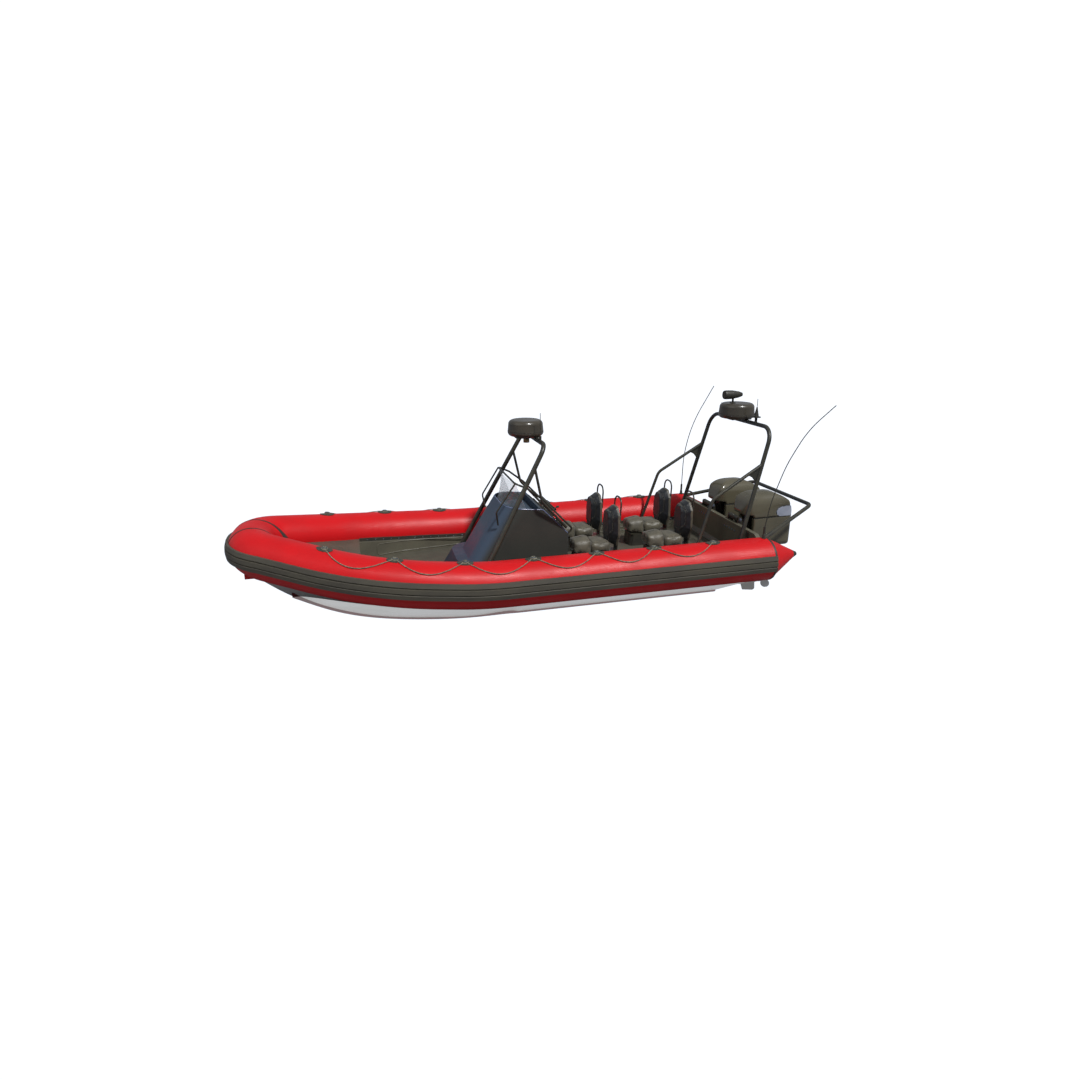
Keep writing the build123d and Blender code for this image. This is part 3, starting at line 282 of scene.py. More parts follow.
@dataclass(frozen=True)
class Finish:
    """One surface finish, from which a material is made.

    Args:
        label: Name of the material.
        slot: The record's material slot; not used.
        base: Main colour.
        spot: Colour of the soft patches.
        spot_scale: Scale of the patches.
        stretch: Scale of the patches along each axis.
        rough: Roughness where the patches are weak and where they are strong.
        relief: Kind of fine relief.
        relief_scale: Scale of the relief.
        relief_height: Height of the relief in metres.
        uneven: Height of the broad unevenness in metres.
        worn: Colour of worn edges, or None.
        wear: How strong and how wide the wear is.
        tint: Colour where the surface faces one way, or None.
        facing: Direction, start and end of that tint.
        shader: Constants of the shader's own sockets.
    """

    label: str
    slot: str
    base: Colour
    spot: Colour
    spot_scale: float = 3.0
    stretch: Point = (1.0, 1.0, 1.0)
    rough: tuple[float, float] = (0.4, 0.5)
    relief: Relief = Relief.GRAIN
    relief_scale: float = 200.0
    relief_height: float = 0.0003
    uneven: float = 0.001
    worn: Optional[Colour] = None
    wear: tuple[float, float] = (0.5, 0.003)
    tint: Optional[Colour] = None
    facing: tuple[Point, float, float] = ((1.0, 0.0, 0.0), 0.1, 0.8)
    shader: tuple[tuple[str, object], ...] = ()

    def material(self) -> bpy.types.Material:
        """Return the finish's material, made on its first use."""
        known = bpy.data.materials.get(self.label)
        if known:
            return known
        made = bpy.data.materials.new(self.label)
        made.use_nodes = True
        graph = Graph(made.node_tree)
        surface = made.node_tree.nodes["Principled BSDF"]
        self.paint(graph, surface)
        for socket, value in self.shader:
            surface.inputs[socket].default_value = value
        return made

    def paint(self, graph: Graph, surface: bpy.types.Node) -> None:
        """Link colour, roughness and normal to the shader.

        Args:
            graph: The material's nodes.
            surface: The material's shader node.
        """
        links = graph.tree.links
        patch = graph.node("ShaderNodeGroup", {"node_tree": group_named("SurfaceMottle")}, Base=self.base, Spot=self.spot,
                           Scale=self.spot_scale, Stretch=self.stretch)
        colour = patch.outputs["Colour"]
        if self.tint:
            way, start, end = self.facing
            faced = graph.node("ShaderNodeGroup", {"node_tree": group_named("FacingTint")}, Colour=colour, Tint=self.tint,
                               Direction=way, From=start, To=end)
            colour = faced.outputs["Colour"]
        if self.worn:
            rubbed = graph.node("ShaderNodeGroup", {"node_tree": group_named("EdgeWear")}, Colour=colour, Worn=self.worn,
                                Amount=self.wear[0], Width=self.wear[1])
            colour = rubbed.outputs["Colour"]
        links.new(colour, surface.inputs["Base Color"])
        fine = graph.node("ShaderNodeGroup", {"node_tree": group_named(self.relief.value)}, Scale=self.relief_scale,
                          Height=self.relief_height, Uneven=self.uneven)
        links.new(fine.outputs["Normal"], surface.inputs["Normal"])
        gloss = graph.node("ShaderNodeMapRange", Value=patch.outputs["Mask"], To_Min=self.rough[0], To_Max=self.rough[1])
        links.new(gloss.outputs[0], surface.inputs["Roughness"])

    def dress(self, *nodes: str) -> None:
        """Give the finish to CAD nodes that keep their shape.

        Args:
            *nodes: Names of the nodes.
        """
        for name in nodes:
            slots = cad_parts[name].data.materials
            slots.clear()
            slots.append(self.material())


@dataclass(frozen=True)
class PanelFinish(Finish):
    """An instrument panel: a dark sheet with fine lit marks on a grid."""

    def paint(self, graph: Graph, surface: bpy.types.Node) -> None:
        """Link the sheet's colour and the marks to the shader."""
        super().paint(graph, surface)
        links = graph.tree.links
        where = graph.node("ShaderNodeTexCoord")
        grid = graph.node("ShaderNodeTexVoronoi", {"feature": "F1", "distance": "CHEBYCHEV"}, Vector=where.outputs["Object"],
                          Scale=34.0, Randomness=0.85)
        mark = graph.node("ShaderNodeMapRange", Value=grid.outputs["Distance"], From_Min=0.16, From_Max=0.12)
        hue = graph.node("ShaderNodeMix", {"data_type": "RGBA"}, Factor=mark.outputs[0], i6=self.base, i7=self.spot)
        links.new(hue.outputs[2], surface.inputs["Base Color"])


@dataclass(frozen=True)
class ClearFinish(Finish):
    """A clear sheet that lets most of the light through."""

    def paint(self, graph: Graph, surface: bpy.types.Node) -> None:
        """Link the colour and the faint smears to the shader, and let the sheet blend."""
        super().paint(graph, surface)
        bpy.data.materials[self.label].surface_render_method = "BLENDED"


class Finishes(Enum):
    """Every finish on the boat."""

    COLLAR = Finish("CollarFabric", "collar_fabric", tone(210, 19, 25), tone(200, 16, 22), 2.2, rough=(0.34, 0.44),
                    relief=Relief.WEAVE, relief_scale=150.0, relief_height=0.00025, uneven=0.004,
                    shader=(("Specular IOR Level", 0.32),))
    SEAM = Finish("SeamTape", "strake_rubber", tone(62, 52, 46), tone(50, 44, 40), 8.0, rough=(0.5, 0.65), relief_scale=300.0)
    STRAKE = Finish("StrakeRubber", "strake_rubber", tone(80, 76, 65), tone(68, 64, 56), 4.0, stretch=(0.4, 1.0, 2.0), rough=(0.45, 0.62),
                    relief_scale=380.0, relief_height=0.0005, uneven=0.0015, worn=tone(118, 112, 98), wear=(0.45, 0.006))
    HULL = Finish("Gelcoat", "hull_gelcoat", tone(228, 228, 226), tone(210, 210, 206), 1.6, stretch=(0.6, 1.0, 2.5), rough=(0.22, 0.34),
                  tint=tone(84, 81, 69), facing=((0.0, 0.0, 1.0), -0.04, 0.02),
                  relief_scale=60.0, relief_height=0.0001, uneven=0.0015, worn=tone(160, 158, 150), wear=(0.3, 0.006),
                  shader=(("Coat Weight", 0.4), ("Coat Roughness", 0.15)))
    KEEL = Finish("KeelGuard", "keel_guard", tone(116, 20, 26), tone(92, 18, 22), 6.0, rough=(0.45, 0.6),
                  worn=tone(150, 70, 66), wear=(0.5, 0.004))
    DECK = Finish("DeckGrip", "deck_grey", tone(86, 83, 71), tone(74, 71, 61), 2.6, rough=(0.5, 0.66), relief=Relief.TREAD,
                  relief_scale=70.0, relief_height=0.0006, uneven=0.001)
    LINER = Finish("LinerMoulding", "deck_grey", tone(100, 97, 82), tone(88, 85, 72), 2.6, rough=(0.42, 0.58),
                   relief_scale=240.0, relief_height=0.0003, worn=tone(128, 124, 108), wear=(0.5, 0.004))
    TRIM = Finish("DarkTrim", "trim_dark", tone(60, 58, 50), tone(48, 47, 42), 9.0, rough=(0.38, 0.55), relief_scale=260.0,
                  worn=tone(96, 94, 84), wear=(0.5, 0.003))
    PAD = Finish("PadRubber", "trim_dark", tone(70, 72, 62), tone(52, 54, 48), 30.0, rough=(0.45, 0.6), relief_scale=300.0,
                 relief_height=0.0006, worn=tone(120, 122, 108), wear=(0.7, 0.004))
    # Console gelcoat: its own colour is olive grey; the blue-grey tint on forward-facing faces is a painted reflection
    # of the pale sky.
    CONSOLE = Finish("ConsoleGelPaintedReflection", "console_paint", tone(64, 65, 60), tone(57, 58, 54), 2.2, rough=(0.42, 0.54), relief_scale=180.0,
                     relief_height=0.0002, tint=tone(66, 82, 101), facing=((0.82, -0.15, 0.52), 0.25, 0.7),
                     worn=tone(120, 130, 156), wear=(0.8, 0.006), shader=(("Specular IOR Level", 0.35),))
    PLINTH = Finish("PlinthGel", "console_paint", tone(52, 64, 82), tone(46, 57, 73), 2.4, rough=(0.36, 0.5), relief_scale=180.0,
                    relief_height=0.0002, worn=tone(104, 114, 138), wear=(0.6, 0.006))
    # Rim bead: the bead is real; its pale blue colour is a painted highlight along the console's top edge.
    RIM = Finish("RimBeadPaintedHighlight", "console_paint", tone(112, 124, 156), tone(96, 108, 138), 6.0, rough=(0.25, 0.35), relief_scale=200.0,
                 relief_height=0.0001)
    PANEL = PanelFinish("InstrumentPanel", "instrument_black", tone(34, 38, 38), tone(122, 116, 92), 20.0, rough=(0.35, 0.5),
                        relief_scale=260.0)
    DIAL = Finish("DialFace", "instrument_black", tone(24, 26, 28), tone(34, 36, 38), 20.0, rough=(0.12, 0.2), relief_scale=300.0,
                  relief_height=0.00005, uneven=0.0, shader=(("Coat Weight", 1.0), ("Coat Roughness", 0.04)))
    MARK = Finish("DialMarks", "lamp", tone(226, 220, 190), tone(206, 200, 170), 30.0, rough=(0.4, 0.5), relief_height=0.00005)
    # Frame paint: faces turned forward and to starboard are tinted dark blue-grey as painted shade on the side away
    # from the key light.
    TUBE = Finish("FrameTubePaintedShade", "frame_paint", tone(68, 66, 55), tone(52, 52, 46), 7.0, rough=(0.3, 0.44), relief_scale=420.0,
                  relief_height=0.0002, tint=tone(44, 50, 58), facing=((0.75, -0.6, -0.1), 0.1, 0.9),
                  shader=(("Metallic", 0.15), ("Coat Weight", 0.3), ("Coat Roughness", 0.25)))
    SEAT = Finish("SeatVinyl", "seat_cover", tone(96, 91, 76), tone(78, 74, 62), 9.0, rough=(0.42, 0.58), relief_scale=330.0,
                  relief_height=0.0006, uneven=0.002, shader=(("Sheen Weight", 0.2), ("Sheen Roughness", 0.5)))
    # Seat back vinyl: the near-black tint on the forward-facing front is painted shade on the side turned away from the
    # key light.
    BACK = Finish("BackVinylPaintedShade", "seat_cover", tone(98, 92, 76), tone(82, 77, 64), 9.0, rough=(0.42, 0.58), relief_scale=330.0,
                  relief_height=0.0006, uneven=0.002, tint=tone(20, 25, 30), facing=((1.0, 0.15, 0.1), 0.30, 0.48),
                  shader=(("Sheen Weight", 0.15), ("Sheen Roughness", 0.5)))
    PIPING = Finish("SeamPiping", "seat_cover", tone(40, 38, 33), tone(30, 29, 26), 12.0, rough=(0.5, 0.6), relief_scale=500.0)
    THREAD = Finish("Stitches", "seat_cover", tone(150, 144, 122), tone(126, 120, 100), 40.0, rough=(0.6, 0.7), relief=Relief.WEAVE,
                    relief_scale=800.0)
    ENGINE = Finish("EnginePaint", "engine_dark", tone(58, 56, 47), tone(44, 43, 38), 6.0, rough=(0.34, 0.5), relief_scale=300.0,
                    relief_height=0.0003, worn=tone(104, 100, 86), wear=(0.5, 0.003), shader=(("Metallic", 0.2),))
    COWL = Finish("CowlPaint", "cowl_paint", tone(92, 87, 70), tone(82, 78, 63), 2.0, rough=(0.2, 0.3), relief_scale=90.0,
                  relief_height=0.0001, uneven=0.0015, worn=tone(120, 114, 94), wear=(0.35, 0.004),
                  shader=(("Coat Weight", 0.7), ("Coat Roughness", 0.12)))
    PATCH = Finish("CowlPatch", "cowl_patch", tone(160, 166, 180), tone(142, 149, 164), 5.0, rough=(0.28, 0.4), relief_scale=200.0,
                   relief_height=0.0001)
    RADOME = Finish("RadomeShell", "radome_shell", tone(74, 68, 57), tone(62, 58, 50), 4.0, rough=(0.24, 0.36), relief_scale=200.0,
                    relief_height=0.0001, worn=tone(110, 104, 90), wear=(0.3, 0.004), shader=(("Coat Weight", 0.4), ("Coat Roughness", 0.2)))
    STEEL = Finish("BrushedSteel", "steel", tone(150, 160, 176), tone(124, 134, 150), 14.0, rough=(0.24, 0.4), relief=Relief.BRUSHED,
                   shader=(("Metallic", 0.9),))
    LAMP = Finish("LampHousing", "lamp", tone(164, 142, 88), tone(120, 98, 60), 30.0, rough=(0.3, 0.45), worn=tone(210, 196, 150))
    LENS = Finish("LampLens", "screen", tone(196, 204, 214), tone(176, 186, 198), 20.0, rough=(0.05, 0.12), relief_height=0.0001,
                  uneven=0.0, shader=(("Coat Weight", 1.0), ("Coat Roughness", 0.03)))
    ROPE = Finish("LaidRope", "rope", tone(146, 140, 118), tone(100, 97, 82), 40.0, rough=(0.6, 0.78), relief=Relief.WEAVE,
                  relief_scale=900.0, relief_height=0.0006, uneven=0.0005, shader=(("Sheen Weight", 0.3),))
    SCREEN = ClearFinish("ClearScreen", "screen", tone(206, 214, 220), tone(190, 200, 208), 4.0, rough=(0.04, 0.10),
                         relief_height=0.00002, uneven=0.0002, shader=(("Alpha", 0.22), ("Coat Weight", 0.5), ("Coat Roughness", 0.03)))
    ANODE = Finish("ZincAnode", "steel", tone(176, 178, 176), tone(140, 142, 142), 30.0, rough=(0.5, 0.7), relief_scale=160.0,
                   relief_height=0.0008, shader=(("Metallic", 0.6),))


# Mesh drafting

class Draft:
    """Collects the surfaces of one piece before it becomes an object."""

    def __init__(self) -> None:
        self.bm = bmesh.new()

    def loft(self, rings: Sequence[Sequence[Vector]], closed: bool = True, capped: bool = True) -> None:
        """Skin a row of rings with equal point counts.

        Args:
            rings: The rings, each a list of points in order.
            closed: Whether each ring closes on itself.
            capped: Whether the first and last rings are filled.
        """
        rows = [[self.bm.verts.new(p) for p in ring] for ring in rings]
        count = len(rows[0])
        last = count if closed else count - 1
        for low, high in zip(rows, rows[1:]):
            for i in range(last):
                j = (i + 1) % count
                self.bm.faces.new((low[i], low[j], high[j], high[i]))
        if capped:
            self.bm.faces.new(list(reversed(rows[0])))
            self.bm.faces.new(rows[-1])

    def tube(self, path: Sequence[Vector], radius: float, sides: int = 10, closed: bool = False,
             radii: Optional[Sequence[float]] = None) -> None:
        """Sweep a round section along a path without twist.

        Args:
            path: Points of the centreline.
            radius: Radius of the section.
            sides: Points round the section.
            closed: Whether the path is a loop.
            radii: Radius at each point, where it changes.
        """
        points = [Vector(p) for p in path]
        count = len(points)
        rings: list[list[Vector]] = []
        across: Optional[Vector] = None
        for i, p in enumerate(points):
            before = points[i - 1] if i or closed else p
            after = points[(i + 1) % count] if i < count - 1 or closed else p
            along = (after - before).normalized()
            if across is None:
                across = along.orthogonal().normalized()
            across = (across - along * across.dot(along)).normalized()
            up = along.cross(across)
            r = radii[i] if radii else radius
            rings.append([p + across * (r * math.cos(t)) + up * (r * math.sin(t))
                          for t in (2 * math.pi * k / sides for k in range(sides))])
        if closed:
            rings.append(best_turn(rings[-1], rings[0]))
        self.loft(rings, capped=not closed)

    def lathe(self, profile: Sequence[tuple[float, float]], place: Matrix, segments: int = 36) -> None:
        """Turn a profile round an axis.

        Args:
            profile: Radius and height pairs along the profile.
            place: Where the axis stands; the axis is the matrix's own Z.
            segments: Steps round the axis.
        """
        rings = [[place @ Vector((r * math.cos(t), r * math.sin(t), h))
                  for t in (2 * math.pi * k / segments for k in range(segments))] for r, h in profile]
        self.loft(rings)

    def block(self, size: Point, place: Matrix, bevel: float = 0.0, steps: int = 2) -> None:
        """Add a box with rounded edges, centred on a placement.

        Args:
            size: Full size along the placement's axes.
            place: Centre and direction of the box.
            bevel: Radius of the rounded edges.
            steps: Segments of the rounding.
        """
        made = bmesh.ops.create_cube(self.bm, size=1.0)["verts"]
        bmesh.ops.transform(self.bm, matrix=Matrix.Diagonal((*size, 1.0)), verts=made)
        if bevel:
            edges = list({e for v in made for e in v.link_edges})
            done = bmesh.ops.bevel(self.bm, geom=edges, offset=bevel, segments=steps, affect="EDGES", profile=0.5)
            made = list({v for f in done["faces"] for v in f.verts} | {v for v in made if v.is_valid})
        bmesh.ops.transform(self.bm, matrix=place, verts=made)

    def prism(self, outline: Sequence[tuple[float, float]], depth: float, place: Matrix, bevel: float = 0.0) -> None:
        """Extrude a flat outline.

        Args:
            outline: Corners in the placement's own X and Y.
            depth: Length along the placement's own Z.
            place: Placement of the outline.
            bevel: Radius of the rounded far edges.
        """
        low = [self.bm.verts.new(Vector((x, y, 0.0))) for x, y in outline]
        high = [self.bm.verts.new(Vector((x, y, depth))) for x, y in outline]
        count = len(outline)
        self.bm.faces.new(list(reversed(low)))
        top = self.bm.faces.new(high)
        for i in range(count):
            j = (i + 1) % count
            self.bm.faces.new((low[i], low[j], high[j], high[i]))
        made = low + high
        if bevel:
            done = bmesh.ops.bevel(self.bm, geom=list(top.edges), offset=bevel, segments=2, affect="EDGES", profile=0.5)
            made = list({v for f in done["faces"] for v in f.verts} | {v for v in made if v.is_valid})
        bmesh.ops.transform(self.bm, matrix=place, verts=made)

    def piece(self, name: str, finish: Finishes, body: str = "boat", replaces: Sequence[str] = (),
              smooth: float = 38.0) -> bpy.types.Object:
        """Close the draft and make it a piece of the boat.

        Args:
            name: Name of the piece.
            finish: Its finish.
            body: The body that it rides on.
            replaces: CAD nodes that it stands for.
            smooth: Angle in degrees above which an edge stays sharp.

        Returns:
            The new object.
        """
        bmesh.ops.recalc_face_normals(self.bm, faces=self.bm.faces)
        mesh = bpy.data.meshes.new(name)
        self.bm.to_mesh(mesh)
        self.bm.free()
        return enlist(mesh, name, finish, body, replaces, smooth)


def best_turn(last: Sequence[Vector], first: Sequence[Vector]) -> list[Vector]:
    """Turn the first ring so that it meets the last one without a twist.

    Args:
        last: The last ring of a closed tube.
        first: The first ring of that tube.

    Returns:
        The first ring's points, reordered.
    """
    count = len(first)
    start = min(range(count), key=lambda s: sum((first[(s + k) % count] - last[k]).length for k in range(count)))
    return [first[(start + k) % count] for k in range(count)]


def enlist(mesh: bpy.types.Mesh, name: str, finish: Finishes, body: str = "boat", replaces: Sequence[str] = (),
           smooth: float = 38.0) -> bpy.types.Object:
    """Make an object from a mesh, finish it, and let it ride on a body.

    Args:
        mesh: The piece's mesh, in the row frame.
        name: Name of the piece.
        finish: Its finish.
        body: The body that it rides on.
        replaces: CAD nodes that it stands for.
        smooth: Angle in degrees above which an edge stays sharp.

    Returns:
        The new object.
    """
    made = bpy.data.objects.new(name, mesh)
    bpy.context.scene.collection.objects.link(made)
    mesh.materials.clear()
    mesh.materials.append(finish.value.material())
    mesh.polygons.foreach_set("use_smooth", [True] * len(mesh.polygons))
    mesh.set_sharp_from_angle(angle=math.radians(smooth))
    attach(made, body)
    if replaces:
        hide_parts(*replaces)
    log.info("%s: %d faces on %s", name, len(mesh.polygons), body)
    return made


def placed(origin: Vector, out: Vector, along: Optional[Vector] = None) -> Matrix:
    """Return a placement whose Z points out of a surface.

    Args:
        origin: Where it stands.
        out: Direction of its Z axis.
        along: Direction that its X axis leans towards.
    """
    z = Vector(out).normalized()
    hint = Vector(along) if along is not None else z.orthogonal()
    x = (hint - z * hint.dot(z)).normalized()
    y = z.cross(x)
    return Matrix.Translation(Vector(origin)) @ Matrix((x, y, z)).transposed().to_4x4()


class Probe:
    """Finds where rays meet a CAD node, so that small pieces sit on its surface."""

    def __init__(self, node: str) -> None:
        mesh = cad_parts[node].data
        self.verts = [v.co.copy() for v in mesh.vertices]
        self.tree = BVHTree.FromPolygons(self.verts, [tuple(p.vertices) for p in mesh.polygons])

    def hit(self, origin: Point, way: Point) -> Optional[tuple[Vector, Vector]]:
        """Return the point and normal where a ray first meets the node, or None.

        Args:
            origin: Start of the ray.
            way: Its direction.
        """
        found, normal, _, _ = self.tree.ray_cast(Vector(origin), Vector(way).normalized())
        if found is None:
            return None
        if normal.dot(Vector(way)) > 0:
            normal = -normal
        return found, normal

    def cut(self, axis: int, value: float, near: float = 0.0015, side: float = 0.0) -> list[Vector]:
        """Return the outline of a flat face of the node, in order round its centre.

        Args:
            axis: Axis that the face is square to.
            value: Where the face lies on that axis.
            near: How close a point must be to count.
            side: Sign of Y that points must have, or 0 for both.
        """
        ring = [v for v in self.verts if abs(v[axis] - value) < near and (not side or v.y * side > 0)]
        centre = sum(ring, Vector()) / len(ring)
        a, b = [i for i in range(3) if i != axis]
        unique: dict[int, Vector] = {}
        for v in ring:
            key = int(round(math.degrees(math.atan2(v[b] - centre[b], v[a] - centre[a])) / 5))
            if key not in unique or (v - centre).length > (unique[key] - centre).length:
                unique[key] = v
        return [unique[k] for k in sorted(unique)][:-1] if -36 in unique and 36 in unique else [unique[k] for k in sorted(unique)]


# Rows of small fittings by Geometry Nodes

def row_group() -> bpy.types.NodeTree:
    """Geometry group that sets one item along a line at an even spacing, turned to the line and to its 'up' direction."""
    known = bpy.data.node_groups.get("RowOfFittings")
    if known:
        return known
    tree = bpy.data.node_groups.new("RowOfFittings", "GeometryNodeTree")
    face = tree.interface
    face.new_socket(name="Line", in_out="INPUT", socket_type="NodeSocketGeometry")
    face.new_socket(name="Item", in_out="INPUT", socket_type="NodeSocketObject")
    face.new_socket(name="Spacing", in_out="INPUT", socket_type="NodeSocketFloat").default_value = 0.05
    face.new_socket(name="Size Variation", in_out="INPUT", socket_type="NodeSocketFloat").default_value = 0.0
    face.new_socket(name="Seed", in_out="INPUT", socket_type="NodeSocketInt").default_value = 7
    face.new_socket(name="Material", in_out="INPUT", socket_type="NodeSocketMaterial")
    face.new_socket(name="Fittings", in_out="OUTPUT", socket_type="NodeSocketGeometry")
    g = Graph(tree)
    entry, leave = tree.nodes.new("NodeGroupInput"), tree.nodes.new("NodeGroupOutput")
    line = g.node("GeometryNodeMeshToCurve", Mesh=entry.outputs["Line"])
    stops = g.node("GeometryNodeResampleCurve", {"mode": "LENGTH"}, Curve=line.outputs[0], Length=entry.outputs["Spacing"])
    up = g.node("GeometryNodeInputNamedAttribute", {"data_type": "FLOAT_VECTOR"}, Name="up")
    along = g.node("GeometryNodeInputTangent")
    first = g.node("FunctionNodeAlignRotationToVector", {"axis": "X"}, Vector=along.outputs[0])
    second = g.node("FunctionNodeAlignRotationToVector", {"axis": "Z", "pivot_axis": "X"}, Rotation=first.outputs[0],
                    Vector=up.outputs[0])
    item = g.node("GeometryNodeObjectInfo", {"transform_space": "ORIGINAL"}, Object=entry.outputs["Item"])
    wobble = g.node("FunctionNodeRandomValue", {"data_type": "FLOAT"}, Seed=entry.outputs["Seed"])
    span = g.node("ShaderNodeMath", {"operation": "MULTIPLY_ADD"}, i0=wobble.outputs[1], i1=entry.outputs["Size Variation"], i2=1.0)
    put = g.node("GeometryNodeInstanceOnPoints", Points=stops.outputs[0], Instance=item.outputs["Geometry"],
                 Rotation=second.outputs[0], Scale=span.outputs[0])
    real = g.node("GeometryNodeRealizeInstances", Geometry=put.outputs[0])
    skin = g.node("GeometryNodeSetMaterial", Geometry=real.outputs[0], Material=entry.outputs["Material"])
    tree.links.new(skin.outputs[0], leave.inputs["Fittings"])
    return tree


@dataclass
class Row:
    """A row of equal fittings along one or more lines.

    Args:
        name: Name of the piece.
        finish: Finish of the fittings.
        lines: The lines; each is a list of a point and its outward direction.
        spacing: Distance between fittings.
        body: The body that the row rides on.
        variation: Greatest part by which a fitting is larger.
    """

    name: str
    finish: Finishes
    lines: Sequence[Sequence[tuple[Vector, Vector]]]
    spacing: float
    body: str = "boat"
    variation: float = 0.0

    def build(self, item: Draft) -> bpy.types.Object:
        """Make the row from one drafted item.

        Args:
            item: The fitting, drafted at the origin with Z outward and X along the line.
        """
        item_mesh = bpy.data.meshes.new(self.name + "_item")
        bmesh.ops.recalc_face_normals(item.bm, faces=item.bm.faces)
        item.bm.to_mesh(item_mesh)
        item.bm.free()
        item_object = bpy.data.objects.new(self.name + "_item", item_mesh)
        mesh = bpy.data.meshes.new(self.name + "_line")
        points = [p for line in self.lines for p, _ in line]
        edges, start = [], 0
        for line in self.lines:
            edges += [(start + i, start + i + 1) for i in range(len(line) - 1)]
            start += len(line)
        mesh.from_pydata(points, edges, [])
        ups = mesh.attributes.new("up", "FLOAT_VECTOR", "POINT")
        ups.data.foreach_set("vector", [c for line in self.lines for _, up in line for c in up])
        host = bpy.data.objects.new(self.name + "_host", mesh)
        bpy.context.scene.collection.objects.link(host)
        modifier = host.modifiers.new("row", "NODES")
        modifier.node_group = row_group()
        sockets = {s.name: s.identifier for s in modifier.node_group.interface.items_tree if s.in_out == "INPUT"}
        for label, value in (("Item", item_object), ("Spacing", self.spacing), ("Size Variation", self.variation),
                             ("Seed", 7), ("Material", self.finish.value.material())):
            modifier[sockets[label]] = value
        host.update_tag()
        bpy.context.view_layer.update()
        evaluated = host.evaluated_get(bpy.context.evaluated_depsgraph_get())
        made = bpy.data.meshes.new_from_object(evaluated)
        made.name = self.name
        host.modifiers.remove(modifier)
        bpy.data.objects.remove(host)
        bpy.data.objects.remove(item_object)
        for extra in [a.name for a in made.attributes if a.name == "up"]:
            made.attributes.remove(made.attributes[extra])
        return enlist(made, self.name, self.finish, self.body)


def dome(radius: float, height: float, segments: int = 10) -> Draft:
    """Draft a domed rivet head at the origin.

    Args:
        radius: Radius of its foot.
        height: Height of its crown.
        segments: Steps round it.
    """
    item = Draft()
    item.lathe([(radius, -0.001), (radius * 0.92, height * 0.45), (radius * 0.62, height * 0.85), (radius * 0.2, height)],
               Matrix.Identity(4), segments)
    return item


# Padded pieces

